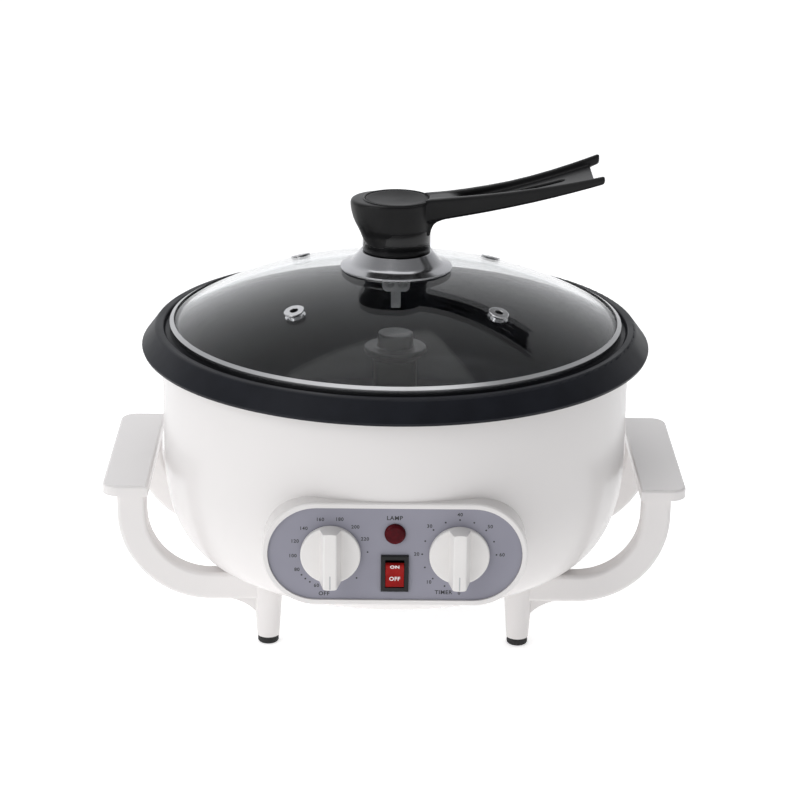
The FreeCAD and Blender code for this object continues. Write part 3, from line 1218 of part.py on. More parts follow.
def vent_grommets():
    """Steel eyelets in the vent holes, flanged on both faces of the glass."""
    shaft = VENT_HOLE - RUNNING_GAP
    top = VENT_LIP + FACE_GAP
    low = -GLASS_THICKNESS - FACE_GAP - VENT_LIP
    outline = [
        (VENT_BORE, low, 0),
        (VENT_FLANGE, low, 0),
        (VENT_FLANGE, low + VENT_LIP, 0),
        (shaft, low + VENT_LIP, 0),
        (shaft, FACE_GAP, 0),
        (VENT_FLANGE, FACE_GAP, 0),
        (VENT_FLANGE, top, VENT_ROUND),
        (VENT_BORE, top, VENT_BORE_ROUND),
    ]
    eyelet = turned(outline)
    return grouped([vent_frame(eyelet, i) for i in range(VENT_COUNT)])


def lid_cone():
    """Flared steel flange between the glass and the knob."""
    edge_z = dome_height(CONE_RADIUS) + FACE_GAP + CONE_EDGE
    outline = [
        (LID_BOLT_RADIUS + SCREW_GAP, GLASS_UNDER_Z, 0),
        (CONE_RADIUS, GLASS_UNDER_Z, 0),
        (CONE_RADIUS, edge_z, CONE_EDGE_ROUND),
        (CONE_RADIUS - CONE_STEP_REACH, edge_z + CONE_STEP_RISE, CONE_SWEEP),
        (CONE_TOP_RADIUS, CONE_TOP_Z, CONE_TOP_ROUND),
        (LID_BOLT_RADIUS + SCREW_GAP, CONE_TOP_Z, 0),
    ]
    return turned(outline).cut(dome(DOME_RADIUS + FACE_GAP))


def arm_outline():
    """Side view of the knob's arm: a rising curve above and a thinner one below."""
    top = [
        (0, 0, ARM_ROOT_Z),
        (ARM_MIDDLE_X, 0, ARM_MIDDLE_Z),
        (ARM_TIP_X, 0, ARM_TIP_Z),
    ]
    low = [
        (0, 0, ARM_ROOT_Z - ARM_ROOT_THICKNESS),
        (ARM_MIDDLE_X, 0, ARM_MIDDLE_Z - ARM_MIDDLE_THICKNESS),
        (ARM_TIP_X, 0, ARM_TIP_Z - ARM_TIP_THICKNESS),
    ]
    curves = []
    for points in (top, low):
        curve = Part.BSplineCurve()
        curve.interpolate([Vector(*p) for p in points])
        curves.append(curve.toShape())
    edges = curves + [line(top[0], low[0]), line(top[-1], low[-1])]
    return Part.Face(Part.Wire(Part.sortEdges(edges)[0]))


def arm_plan():
    """Top view of the arm: narrow at the post, spread to a notched tip, with a long slot."""
    root = ARM_ROOT_WIDTH / 2
    tip = ARM_TIP_WIDTH / 2
    low_z = CONE_TOP_Z
    corners = [
        (0, -root, low_z, 0),
        (ARM_SLOT_START_X, -root, low_z, ARM_SPREAD_ROUND),
        (ARM_TIP_X, -tip, low_z, ARM_TIP_ROUND),
        (ARM_TIP_X - ARM_NOTCH_DEPTH, 0, low_z, ARM_TIP_ROUND),
        (ARM_TIP_X, tip, low_z, ARM_TIP_ROUND),
        (ARM_SLOT_START_X, root, low_z, ARM_SPREAD_ROUND),
        (0, root, low_z, 0),
    ]
    tall = 2 * (ARM_TIP_Z - CONE_TOP_Z)
    plan = Part.Face(Part.Wire(rounded_outline(corners))).extrude(Vector(0, 0, tall))
    half = ARM_SLOT_WIDTH / 2
    straight = ARM_SLOT_END_X - ARM_SLOT_START_X - ARM_SLOT_WIDTH
    slot = box((ARM_SLOT_START_X + ARM_SLOT_END_X) / 2, 0, low_z, straight, ARM_SLOT_WIDTH, tall)
    end_places = (ARM_SLOT_START_X + half, ARM_SLOT_END_X - half)
    ends = [cylinder(half, Vector(x, 0, low_z), tall) for x in end_places]
    return plan.cut([slot] + ends)


def lid_knob():
    """Black knob: a round post, a head with a thumb lip, and a long rising arm."""
    post = cylinder(KNOB_POST_RADIUS, Vector(0, 0, CONE_TOP_Z), KNOB_HEAD_Z - CONE_TOP_Z)
    flare = turned([
        (0, KNOB_FLARE_START_Z, 0),
        (KNOB_POST_RADIUS - KNOB_FLARE_SETBACK, KNOB_FLARE_START_Z, 0),
        (KNOB_FLARE_RADIUS, KNOB_HEAD_Z - KNOB_LIP_EDGE, KNOB_LIP_ROUND),
        (KNOB_FLARE_RADIUS, KNOB_HEAD_Z, KNOB_LIP_ROUND),
        (0, KNOB_HEAD_Z, 0),
    ])
    width = KNOB_FLARE_RADIUS + PASS
    height = KNOB_FLARE_HEIGHT + 2 * PASS
    keep = box(-width / 2, 0, KNOB_FLARE_START_Z - PASS, width, 2 * KNOB_FLARE_HALF_WIDTH, height)
    arm = arm_outline().extrude(Vector(0, ARM_TIP_WIDTH, 0))
    arm.translate(Vector(0, -ARM_TIP_WIDTH / 2, 0))
    arm = arm.common(arm_plan())
    knob = joined([post, flare.common(keep), arm])
    recess = cylinder(CAP_RADIUS + FASCIA_GAP, Z_AXIS * (KNOB_HEAD_Z - CAP_THICKNESS), ARM_TIP_RISE)
    bolt_top_z = WASHER_LOW_Z + LID_BOLT_LENGTH
    bolt_room = cylinder(LID_BOLT_RADIUS, Z_AXIS * (CONE_TOP_Z - PASS), bolt_top_z - CONE_TOP_Z + PASS)
    return knob.cut([recess, bolt_room])


def knob_cap():
    """Disc let into the top of the knob."""
    cap = cylinder(CAP_RADIUS, Z_AXIS * (KNOB_HEAD_Z - CAP_THICKNESS), CAP_THICKNESS)
    return cap.makeFillet(CAP_ROUND, edges_in_plane(cap, "Z", KNOB_HEAD_Z))


def glass_washers():
    """Soft washer below the glass, round the bolt."""
    tall = 2 * WASHER_THICKNESS
    ring = cylinder(WASHER_RADIUS, Z_AXIS * WASHER_LOW_Z, tall)
    ring = ring.cut(cylinder(LID_BOLT_RADIUS + SCREW_GAP, Z_AXIS * (WASHER_LOW_Z - PASS), tall + 2 * PASS))
    return ring.common(dome(DOME_RADIUS - GLASS_THICKNESS - FACE_GAP))


def lid_bolt():
    """Bolt up through the glass and the cone into the knob."""
    head = cylinder(LID_BOLT_HEAD_RADIUS, Z_AXIS * BLOCK_TOP_Z, LID_BOLT_HEAD_HEIGHT)
    shank = cylinder(LID_BOLT_RADIUS, Z_AXIS * WASHER_LOW_Z, LID_BOLT_LENGTH)
    return joined([head, shank])


def hanger_block():
    """Small steel plate under the bolt's head, which the flat bar is screwed to."""
    half = BLOCK_WIDTH / 2
    front_y = -BLOCK_THICKNESS / 2
    corners = [
        (-half, front_y, BLOCK_BOTTOM_Z, BLOCK_CORNER),
        (half, front_y, BLOCK_BOTTOM_Z, BLOCK_CORNER),
        (half, front_y, BLOCK_TOP_Z, 0),
        (-half, front_y, BLOCK_TOP_Z, 0),
    ]
    block = Part.Face(Part.Wire(rounded_outline(corners))).extrude(Vector(0, BLOCK_THICKNESS, 0))
    starts = [Vector(x, front_y - PASS, BLOCK_SCREW_Z) for x in (-BLOCK_SCREW_X, BLOCK_SCREW_X)]
    holes = [cylinder(BLOCK_SCREW_RADIUS, start, BLOCK_SCREW_LENGTH + PASS, Y_AXIS) for start in starts]
    slot_y = (BLOCK_THICKNESS - BAR_THICKNESS) / 2
    slot_depth = BAR_THICKNESS + RUNNING_GAP
    slot = box(0, slot_y, BLOCK_BOTTOM_Z - PASS, BAR_WIDTH, slot_depth, BAR_IN_BLOCK + PASS)
    return block.cut(holes + [slot])


def hanger_bar():
    """Flat bar hanging from the block over the stirrer's hub."""
    length = BAR_DROP + BAR_IN_BLOCK - FACE_GAP
    middle_y = (BLOCK_THICKNESS - BAR_THICKNESS) / 2
    bar = box(0, middle_y, BAR_BOTTOM_Z, BAR_WIDTH - 2 * RUNNING_GAP, BAR_THICKNESS - RUNNING_GAP, length)
    low_corners = [e for e in edges_along(bar, "Y") if e.BoundBox.ZMax < BLOCK_BOTTOM_Z]
    return bar.makeFillet(BAR_CORNER, low_corners)


def block_screws():
    """Cross-head screws in the front of the hanger block."""
    screws = []
    front_y = -BLOCK_THICKNESS / 2
    for x in (-BLOCK_SCREW_X, BLOCK_SCREW_X):
        head_start = Vector(x, front_y - BLOCK_SCREW_HEAD_HEIGHT, BLOCK_SCREW_Z)
        head = cylinder(BLOCK_SCREW_HEAD_RADIUS, head_start, BLOCK_SCREW_HEAD_HEIGHT, Y_AXIS)
        shank = cylinder(BLOCK_SCREW_RADIUS, Vector(x, front_y, BLOCK_SCREW_Z), BLOCK_SCREW_LENGTH, Y_AXIS)
        screws.append(joined([head, shank]))
    return grouped(screws)


# ---------------------------------------------------------------- output
NODES = {
    "body_bowl": body_bowl,
    "bottom_cover": bottom_cover,
    "cover_screws": cover_screws,
    "side_handle_left": lambda: side_handle(-1),
    "side_handle_right": lambda: side_handle(1),
    "handle_screws": handle_screws,
    "rubber_feet": rubber_feet,
    "roasting_pan": roasting_pan,
    "heating_element": heating_element,
    "element_clamps": element_clamps,
    "heat_reflector": heat_reflector,
    "support_posts": support_posts,
    "pan_studs": pan_studs,
    "stud_spacers": stud_spacers,
    "stud_nuts": stud_nuts,
    "thermal_fuse": thermal_fuse,
    "thermostat_bulb": thermostat_bulb,
    "motor_bracket": motor_bracket,
    "gear_motor": gear_motor,
    "motor_screws": motor_screws,
    "shaft_bush": shaft_bush,
    "drive_shaft": drive_shaft,
    "stirrer_hub": stirrer_hub,
    "stirrer_blades": stirrer_blades,
    "control_fascia": control_fascia,
    "thermostat_body": thermostat_body,
    "thermostat_shaft": lambda: control_shaft(-KNOB_X),
    "temperature_knob": lambda: control_knob(-KNOB_X),
    "timer_body": timer_body,
    "timer_shaft": lambda: control_shaft(KNOB_X),
    "timer_knob": lambda: control_knob(KNOB_X),
    "lamp_lens": lamp_lens,
    "lamp_body": lamp_body,
    "rocker_housing": rocker_housing,
    "rocker": rocker,
    "mains_inlet": mains_inlet,
    "inlet_pins": inlet_pins,
    "terminal_block": terminal_block,
    "lid_glass": lid_glass,
    "lid_rim": lid_rim,
    "vent_grommets": vent_grommets,
    "lid_cone": lid_cone,
    "lid_knob": lid_knob,
    "knob_cap": knob_cap,
    "lid_bolt": lid_bolt,
    "glass_washers": glass_washers,
    "hanger_block": hanger_block,
    "hanger_bar": hanger_bar,
    "block_screws": block_screws,
}


def main():
    os.makedirs("parts", exist_ok=True)
    for name, make in NODES.items():
        make().exportStep(f"parts/{name}.step")


main()
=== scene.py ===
"""Looks of the home coffee bean roaster: finishes, printing and small details, and a plain studio.

Lengths are in millimetres where a class or method says so and in metres elsewhere, in the frame of
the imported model.
"""

import logging
import math
from dataclasses import dataclass, field
from enum import Enum
from typing import Callable, Sequence

import bmesh
import bpy
from mathutils import Matrix, Vector


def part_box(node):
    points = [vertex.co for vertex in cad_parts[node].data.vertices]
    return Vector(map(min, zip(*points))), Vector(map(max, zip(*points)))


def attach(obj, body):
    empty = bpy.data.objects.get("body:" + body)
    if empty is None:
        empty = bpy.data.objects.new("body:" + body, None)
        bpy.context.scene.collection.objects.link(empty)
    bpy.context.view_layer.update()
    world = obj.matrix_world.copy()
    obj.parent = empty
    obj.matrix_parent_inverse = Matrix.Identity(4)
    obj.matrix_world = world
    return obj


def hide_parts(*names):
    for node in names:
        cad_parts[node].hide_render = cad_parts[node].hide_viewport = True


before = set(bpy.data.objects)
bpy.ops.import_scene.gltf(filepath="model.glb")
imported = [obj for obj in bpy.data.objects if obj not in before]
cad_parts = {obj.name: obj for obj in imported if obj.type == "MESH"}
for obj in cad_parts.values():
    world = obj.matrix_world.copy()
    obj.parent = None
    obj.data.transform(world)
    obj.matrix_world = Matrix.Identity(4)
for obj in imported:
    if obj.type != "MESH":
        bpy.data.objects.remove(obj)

MM: float = 0.001
Colour = tuple[float, float, float, float]
Rgb = tuple[float, float, float]
Point = tuple[float, float, float]
Outline = Sequence[tuple[float, float]]
Piece = bpy.types.Object
Socket = bpy.types.NodeSocket

log = logging.getLogger("roaster")


def colour(red: float, green: float, blue: float) -> Colour:
    """Returns an opaque linear colour."""
    return (red, green, blue, 1.0)


# ---- shared shader groups
# Where a mix node that mixes colours has its two colours and its result.
MIX_FIRST: int = 6
MIX_SECOND: int = 7
MIX_RESULT: int = 2


class SocketKind(Enum):
    """Kinds of socket that the shared groups use."""

    NUMBER = "NodeSocketFloat"
    COLOUR = "NodeSocketColor"


@dataclass
class GroupDraft:
    """A shader node group while its nodes are being placed."""

    name: str
    tree: bpy.types.NodeTree = field(init=False)
    entry: bpy.types.Node = field(init=False)
    exit: bpy.types.Node = field(init=False)

    def __post_init__(self) -> None:
        """Makes the empty group with its ends."""
        self.tree = bpy.data.node_groups.new(self.name, "ShaderNodeTree")
        self.entry = self.tree.nodes.new("NodeGroupInput")
        self.exit = self.tree.nodes.new("NodeGroupOutput")

    def takes(self, name: str, value: float | Colour) -> Socket:
        """Adds an input with its default, and returns the socket that gives its value inside the group."""
        kind = SocketKind.NUMBER if isinstance(value, float) else SocketKind.COLOUR
        socket = self.tree.interface.new_socket(name, in_out="INPUT", socket_type=kind.value)
        socket.default_value = value
        return self.entry.outputs[name]

    def gives(self, name: str, kind: SocketKind, source: Socket) -> None:
        """Adds an output of that name and kind, fed by the source."""
        self.tree.interface.new_socket(name, in_out="OUTPUT", socket_type=kind.value)
        self.join(source, self.exit.inputs[name])

    def node(self, kind: str, **settings: object) -> bpy.types.Node:
        """Places a node of Blender's kind, sets its properties and returns it."""
        made = self.tree.nodes.new(kind)
        for key, value in settings.items():
            setattr(made, key, value)
        return made

    def join(self, start: Socket, end: Socket) -> None:
        """Links two sockets."""
        self.tree.links.new(start, end)

    def spread(self, source: Socket, low: float, high: float = 1.0) -> bpy.types.Node:
        """Places a node that stretches the values from low to high out to 0 to 1, and returns it."""
        made = self.node("ShaderNodeMapRange", clamp=True)
        made.inputs["From Min"].default_value = low
        made.inputs["From Max"].default_value = high
        self.join(source, made.inputs["Value"])
        return made

    def product(self, first: Socket, second: Socket) -> Socket:
        """Returns the product of two values."""
        made = self.node("ShaderNodeMath", operation="MULTIPLY")
        self.join(first, made.inputs[0])
        self.join(second, made.inputs[1])
        return made.outputs["Value"]

    def mixed(self, mask: Socket, first: Socket, second: Socket) -> Socket:
        """Returns the first colour where the mask is 0 and the second where it is 1."""
        made = self.node("ShaderNodeMix", data_type="RGBA")
        self.join(mask, made.inputs[0])
        self.join(first, made.inputs[MIX_FIRST])
        self.join(second, made.inputs[MIX_SECOND])
        return made.outputs[MIX_RESULT]

    def noise(self, scale: float | Socket, detail: float) -> Socket:
        """Places a noise pattern on Object coordinates.

        Args:
            scale: Its scale, or the socket that gives it.
            detail: How many finer layers it has.

        Returns:
            The pattern's value.
        """
        place = self.node("ShaderNodeTexCoord")
        made = self.node("ShaderNodeTexNoise")
        made.inputs["Detail"].default_value = detail
        self.join(place.outputs["Object"], made.inputs["Vector"])
        if isinstance(scale, float):
            made.inputs["Scale"].default_value = scale
        else:
            self.join(scale, made.inputs["Scale"])
        return made.outputs["Fac"]

    def surface(self, patches: Socket, relief: Socket, smooth: float, rough: float) -> bpy.types.NodeTree:
        """Ends a group that gives a fine surface.

        Args:
            patches: The pattern that the roughness follows, from Smooth to Rough.
            relief: The pattern of the heights.
            smooth: Default of Smooth.
            rough: Default of Rough.

        Returns:
            The group, with Roughness and Height outputs.
        """
        sheen = self.spread(patches, 0.3, 0.7)
        self.join(self.takes("Smooth", smooth), sheen.inputs["To Min"])
        self.join(self.takes("Rough", rough), sheen.inputs["To Max"])
        self.gives("Roughness", SocketKind.NUMBER, sheen.outputs["Result"])
        self.gives("Height", SocketKind.NUMBER, relief)
        return self.tree

    def overlay(self, name: str, tone: Colour, amount: float, cover: Socket) -> bpy.types.NodeTree:
        """Ends a group that lays one colour over another.

        Args:
            name: Name of the upper colour.
            tone: Its default.
            amount: Default of Amount, the share of it where the cover is whole.
            cover: The pattern that it follows.

        Returns:
            The group, with a Color output over its Base input.
        """
        base = self.takes("Base", colour(0.5, 0.5, 0.5))
        upper = self.takes(name, tone)
        mask = self.product(cover, self.takes("Amount", amount))
        self.gives("Color", SocketKind.COLOUR, self.mixed(mask, base, upper))
        return self.tree


class SharedEffects:
    """The shader groups that several finishes use, each built once."""

    def __init__(self) -> None:
        """Builds all the groups."""
        self.mottle = self._mottle()
        self.grain = self._grain()
        self.brushing = self._brushing()
        self.dust = self._dust()
        self.edge_wear = self._edge_wear()

    @staticmethod
    def _mottle() -> bpy.types.NodeTree:
        """Builds slow drift between two near colours, given as Color."""
        draft = GroupDraft("mottle")
        low, high = draft.takes("Low", colour(0.5, 0.5, 0.5)), draft.takes("High", colour(0.6, 0.6, 0.6))
        patches = draft.spread(draft.noise(draft.takes("Scale", 20.0), 3.0), 0.35, 0.65)
        draft.gives("Color", SocketKind.COLOUR, draft.mixed(patches.outputs["Result"], low, high))
        return draft.tree

    @staticmethod
    def _grain() -> bpy.types.NodeTree:
        """Builds fine moulding or coating grain, given as Roughness and Height."""
        draft = GroupDraft("grain")
        fine = draft.noise(draft.takes("Scale", 900.0), 2.0)
        return draft.surface(draft.noise(38.0, 4.0), fine, 0.3, 0.4)

    @staticmethod
    def _brushing() -> bpy.types.NodeTree:
        """Builds fine turned lines that run round the upright axis of a piece.

        Returns:
            The group, with Roughness and Height outputs.
        """
        draft = GroupDraft("turned_lines")
        place = draft.node("ShaderNodeTexCoord")
        split = draft.node("ShaderNodeSeparateXYZ")
        draft.join(place.outputs["Object"], split.inputs["Vector"])
        flat = draft.node("ShaderNodeCombineXYZ")
        draft.join(split.outputs["X"], flat.inputs["X"])
        draft.join(split.outputs["Y"], flat.inputs["Y"])
        reach = draft.node("ShaderNodeVectorMath", operation="LENGTH")
        draft.join(flat.outputs["Vector"], reach.inputs[0])
        run = draft.node("ShaderNodeCombineXYZ")
        draft.join(reach.outputs["Value"], run.inputs["X"])
        draft.join(split.outputs["Z"], run.inputs["Y"])
        lines = draft.node("ShaderNodeTexNoise")
        lines.inputs["Detail"].default_value = 3.0
        draft.join(run.outputs["Vector"], lines.inputs["Vector"])
        draft.join(draft.takes("Scale", 2500.0), lines.inputs["Scale"])
        return draft.surface(lines.outputs["Fac"], lines.outputs["Fac"], 0.18, 0.34)

    @staticmethod
    def _dust() -> bpy.types.NodeTree:
        """Builds a thin broken veil of dust on what faces up, laid over Base."""
        draft = GroupDraft("dust")
        shape = draft.node("ShaderNodeNewGeometry")
        split = draft.node("ShaderNodeSeparateXYZ")
        draft.join(shape.outputs["Normal"], split.inputs["Vector"])
        up = draft.spread(split.outputs["Z"], 0.35)
        specks = draft.spread(draft.noise(420.0, 5.0), 0.45, 0.75)
        cover = draft.product(up.outputs["Result"], specks.outputs["Result"])
        return draft.overlay("Veil", colour(0.6, 0.58, 0.55), 0.1, cover)

    @staticmethod
    def _edge_wear() -> bpy.types.NodeTree:
        """Builds light rubbing along outward edges, laid over Base."""
        draft = GroupDraft("edge_wear")
        shape = draft.node("ShaderNodeNewGeometry")
        edge = draft.spread(shape.outputs["Pointiness"], 0.54, 0.66)
        return draft.overlay("Worn", colour(0.7, 0.7, 0.7), 0.3, edge.outputs["Result"])


# ---- finishes
class Texture(Enum):
    """How the fine surface of a finish runs."""

    GRAIN = "grain"
    TURNED = "turned"


@dataclass(frozen=True)
class Finish:
    """A finish that is the same kind of surface all over a piece."""

    name: str
    low: Rgb
    high: Rgb
    smooth: float = 0.3
    rough: float = 0.4
    patch_scale: float = 22.0
    grain_scale: float = 900.0
    grain_depth: float = 0.02
    metallic: float = 0.0
    dust: float = 0.0
    wear: float = 0.0
    worn: Rgb = (0.7, 0.7, 0.7)
    texture: Texture = Texture.GRAIN
    transmission: float = 0.0
    ior: float = 1.5
    specular: float = 0.5
    emission: float = 0.0

    def build(self, effects: SharedEffects) -> bpy.types.Material:
        """Makes the material.

        Args:
            effects: The shared shader groups.

        Returns:
            The new material.
        """
        made = bpy.data.materials.new(self.name)
        made.use_nodes = True
        tree = made.node_tree
        shader = tree.nodes["Principled BSDF"]
        shader.inputs["Metallic"].default_value = self.metallic
        shader.inputs["Transmission Weight"].default_value = self.transmission
        shader.inputs["IOR"].default_value = self.ior
        shader.inputs["Specular IOR Level"].default_value = self.specular
        paint = self._placed(
            tree, effects.mottle, Low=colour(*self.low), High=colour(*self.high), Scale=self.patch_scale)
        end = paint.outputs["Color"]
        layers = (
            (effects.edge_wear, self.wear, {"Worn": colour(*self.worn)}), (effects.dust, self.dust, {}))
        for group, amount, tones in layers:
            if amount > 0.0:
                layer = self._placed(tree, group, Amount=amount, **tones)
                tree.links.new(end, layer.inputs["Base"])
                end = layer.outputs["Color"]
        tree.links.new(end, shader.inputs["Base Color"])
        if self.emission > 0.0:
            tree.links.new(end, shader.inputs["Emission Color"])
            shader.inputs["Emission Strength"].default_value = self.emission
        fine = effects.grain if self.texture is Texture.GRAIN else effects.brushing
        surface = self._placed(tree, fine, Scale=self.grain_scale, Smooth=self.smooth, Rough=self.rough)
        tree.links.new(surface.outputs["Roughness"], shader.inputs["Roughness"])
        bump = tree.nodes.new("ShaderNodeBump")
        bump.inputs["Strength"].default_value = 1.0
        bump.inputs["Distance"].default_value = self.grain_depth * MM
        tree.links.new(surface.outputs["Height"], bump.inputs["Height"])
        tree.links.new(bump.outputs["Normal"], shader.inputs["Normal"])
        return made

    @staticmethod
    def _placed(
        tree: bpy.types.NodeTree, group: bpy.types.NodeTree, **values: float | Colour,
    ) -> bpy.types.Node:
        """Places a shared group in a material, sets its inputs and returns its node."""
        node = tree.nodes.new("ShaderNodeGroup")
        node.node_tree = group
        for key, value in values.items():
            node.inputs[key].default_value = value
        return node


def turned_steel(name: str, low: Rgb, high: Rgb, smooth: float, rough: float, depth: float) -> Finish:
    """Returns a steel with fine turned lines of that depth, between two colours and two roughnesses."""
    return Finish(
        name, low, high, smooth=smooth, rough=rough, patch_scale=18.0, grain_scale=2600.0,
        grain_depth=depth, metallic=1.0, texture=Texture.TURNED)


def ink(name: str, low: Rgb, high: Rgb) -> Finish:
    """Returns a matte flat colour between two colours: printing ink, and the painted shade of the knobs'
    pointer grooves.
    """
    return Finish(
        name, low, high, smooth=0.45, rough=0.55, patch_scale=300.0, grain_scale=2600.0, grain_depth=0.004)


WHITE_BODY = Finish(
    "white_body", (0.80, 0.775, 0.765), (0.81, 0.785, 0.775),
    smooth=0.24, rough=0.265, patch_scale=9.0, grain_scale=1500.0, grain_depth=0.0005)
WHITE_KNOB = Finish(
    "white_knob", (0.80, 0.78, 0.765), (0.83, 0.81, 0.795),
    smooth=0.32, rough=0.42, patch_scale=40.0, grain_scale=1400.0, grain_depth=0.006, wear=0.12,
    worn=(0.88, 0.87, 0.86))
PAN_COATING = Finish(
    "pan_coating", (0.007, 0.0078, 0.0115), (0.010, 0.0112, 0.016),
    smooth=0.40, rough=0.50, patch_scale=60.0, grain_scale=2600.0, grain_depth=0.003, specular=0.16)
LID_GLASS = Finish(
    "lid_glass", (0.98, 0.99, 0.993), (0.99, 0.995, 0.997),
    smooth=0.0, rough=0.02, patch_scale=12.0, grain_scale=60.0, grain_depth=0.01, transmission=1.0,
    ior=1.20)
SATIN_STEEL = turned_steel(
    "satin_steel", (0.50, 0.50, 0.51), (0.58, 0.58, 0.59),
    smooth=0.18, rough=0.268, depth=0.004)
RIM_STEEL = turned_steel(
    "rim_steel", (0.35, 0.35, 0.355), (0.42, 0.42, 0.425),
    smooth=0.20, rough=0.268, depth=0.004)
CONE_STEEL = turned_steel(
    "cone_steel", (0.37, 0.37, 0.385), (0.43, 0.43, 0.44),
    smooth=0.15, rough=0.24, depth=0.003)
PLATED_STEEL = Finish(
    "plated_steel", (0.60, 0.60, 0.60), (0.72, 0.72, 0.72),
    smooth=0.28, rough=0.38, patch_scale=160.0, grain_scale=3000.0, grain_depth=0.01, metallic=1.0)
BRIGHT_ZINC = Finish(
    "bright_zinc", (0.72, 0.73, 0.74), (0.82, 0.83, 0.84),
    smooth=0.28, rough=0.38, patch_scale=200.0, grain_scale=2600.0, grain_depth=0.004, metallic=0.45)
BLACK_PHENOLIC = Finish(
    "black_phenolic", (0.006, 0.006, 0.0065), (0.009, 0.009, 0.0095),
    smooth=0.32, rough=0.44, patch_scale=30.0, grain_scale=1500.0, grain_depth=0.008, dust=0.006,
    wear=0.10, worn=(0.03, 0.03, 0.033), specular=0.22)
BLACK_CAP = Finish(
    "black_cap", (0.006, 0.006, 0.0065), (0.009, 0.009, 0.0095),
    smooth=0.34, rough=0.46, patch_scale=30.0, grain_scale=1500.0, grain_depth=0.008, dust=0.004,
    specular=0.08)
GREY_FASCIA = Finish(
    "grey_fascia", (0.275, 0.272, 0.325), (0.30, 0.296, 0.35),
    smooth=0.42, rough=0.50, patch_scale=26.0, grain_scale=3200.0, grain_depth=0.004, specular=0.3)
BLACK_COLLAR = Finish(
    "black_collar", (0.005, 0.005, 0.0055), (0.008, 0.008, 0.0085),
    smooth=0.14, rough=0.22, patch_scale=30.0, grain_scale=900.0, grain_depth=0.002, specular=0.36)
BLACK_PLASTIC = Finish(
    "black_plastic", (0.006, 0.006, 0.0065), (0.010, 0.010, 0.0105),
    smooth=0.34, rough=0.46, patch_scale=60.0, grain_scale=1800.0, grain_depth=0.008, wear=0.15,
    worn=(0.05, 0.05, 0.05), specular=0.3)
RED_LENS = Finish(
    "red_lens", (0.055, 0.002, 0.005), (0.085, 0.003, 0.007),
    smooth=0.10, rough=0.18, patch_scale=260.0, grain_scale=800.0, grain_depth=0.004, specular=0.10)
RED_ROCKER = Finish(
    "red_rocker", (0.26, 0.008, 0.007), (0.31, 0.010, 0.009),
    smooth=0.28, rough=0.36, patch_scale=220.0, grain_scale=1200.0, grain_depth=0.004, specular=0.08)
BLACK_RUBBER = Finish(
    "black_rubber", (0.012, 0.012, 0.012), (0.022, 0.022, 0.022),
    smooth=0.62, rough=0.78, patch_scale=90.0, grain_scale=2200.0, grain_depth=0.05, dust=0.2)
HEATER_SHEATH = Finish(
    "heater_sheath", (0.16, 0.13, 0.11), (0.26, 0.22, 0.19),
    smooth=0.35, rough=0.55, patch_scale=120.0, grain_scale=1600.0, grain_depth=0.03, metallic=0.9)
BRIGHT_SHEET = Finish(
    "bright_sheet", (0.74, 0.74, 0.75), (0.82, 0.82, 0.83),
    smooth=0.18, rough=0.265, patch_scale=30.0, grain_scale=2400.0, grain_depth=0.015, metallic=1.0,
    texture=Texture.TURNED)
BRONZE = Finish(
    "bronze", (0.40, 0.24, 0.12), (0.52, 0.33, 0.17),
    smooth=0.29, rough=0.42, patch_scale=160.0, grain_scale=2600.0, grain_depth=0.015, metallic=1.0)
STIRRER_COATING = Finish(
    "stirrer_coating", (0.008, 0.0085, 0.010), (0.012, 0.013, 0.0155),
    smooth=0.36, rough=0.5, patch_scale=90.0, grain_scale=2600.0, grain_depth=0.012, wear=0.2,
    worn=(0.05, 0.05, 0.055), specular=0.14)
BEIGE_PLASTIC = Finish(
    "beige_plastic", (0.60, 0.54, 0.44), (0.66, 0.60, 0.50),
    smooth=0.4, rough=0.5, patch_scale=60.0, grain_scale=1600.0, grain_depth=0.02)
FUSE_CERAMIC = Finish(
    "fuse_ceramic", (0.72, 0.70, 0.64), (0.80, 0.78, 0.73),
    smooth=0.4, rough=0.55, patch_scale=200.0, grain_scale=2400.0, grain_depth=0.02)
PIN_BRASS = Finish(
    "pin_brass", (0.62, 0.50, 0.28), (0.72, 0.60, 0.36),
    smooth=0.18, rough=0.265, patch_scale=260.0, grain_scale=2600.0, grain_depth=0.01, metallic=1.0)
WHITE_WASHER = Finish(
    "white_washer", (0.70, 0.69, 0.67), (0.78, 0.77, 0.75),
    smooth=0.45, rough=0.6, patch_scale=90.0, grain_scale=1800.0, grain_depth=0.02)
WHITE_INK = ink("white_ink", (0.80, 0.80, 0.80), (0.86, 0.86, 0.86))
BLACK_INK = ink("black_ink", (0.025, 0.025, 0.028), (0.04, 0.04, 0.043))
# Painted shade: a grey that stands for the shaded inside of each control knob's pointer groove, which is
# not cut.
POINTER_GROOVE_SHADE = ink("pointer_groove_shade", (0.50, 0.50, 0.51), (0.56, 0.56, 0.57))
STUDIO_FLOOR = Finish(
    "studio_floor", (0.92, 0.92, 0.92), (0.94, 0.94, 0.94),
    smooth=0.75, rough=0.85, patch_scale=3.0, grain_scale=90.0, grain_depth=0.004, emission=0.55,
    specular=0.1)


class FinishRack:
    """Builds each finish once and hands out its material."""

    def __init__(self) -> None:
        """Starts with the shared groups and an empty rack."""
        self.effects = SharedEffects()
        self.made: dict[str, bpy.types.Material] = {}

    def get(self, finish: Finish) -> bpy.types.Material:
        """Returns the material of a finish, made at its first use."""
        if finish.name not in self.made:
            self.made[finish.name] = finish.build(self.effects)
        return self.made[finish.name]


# ---- modelling bench
# How near two points have to be to become one.
WELD_TURNED: float = 0.000001
WELD_PIECE: float = 0.000002


class Select(Enum):
    """What the bench picks in edit mode."""

    FACE = "FACE"
    EDGE = "EDGE"
    VERT = "VERT"


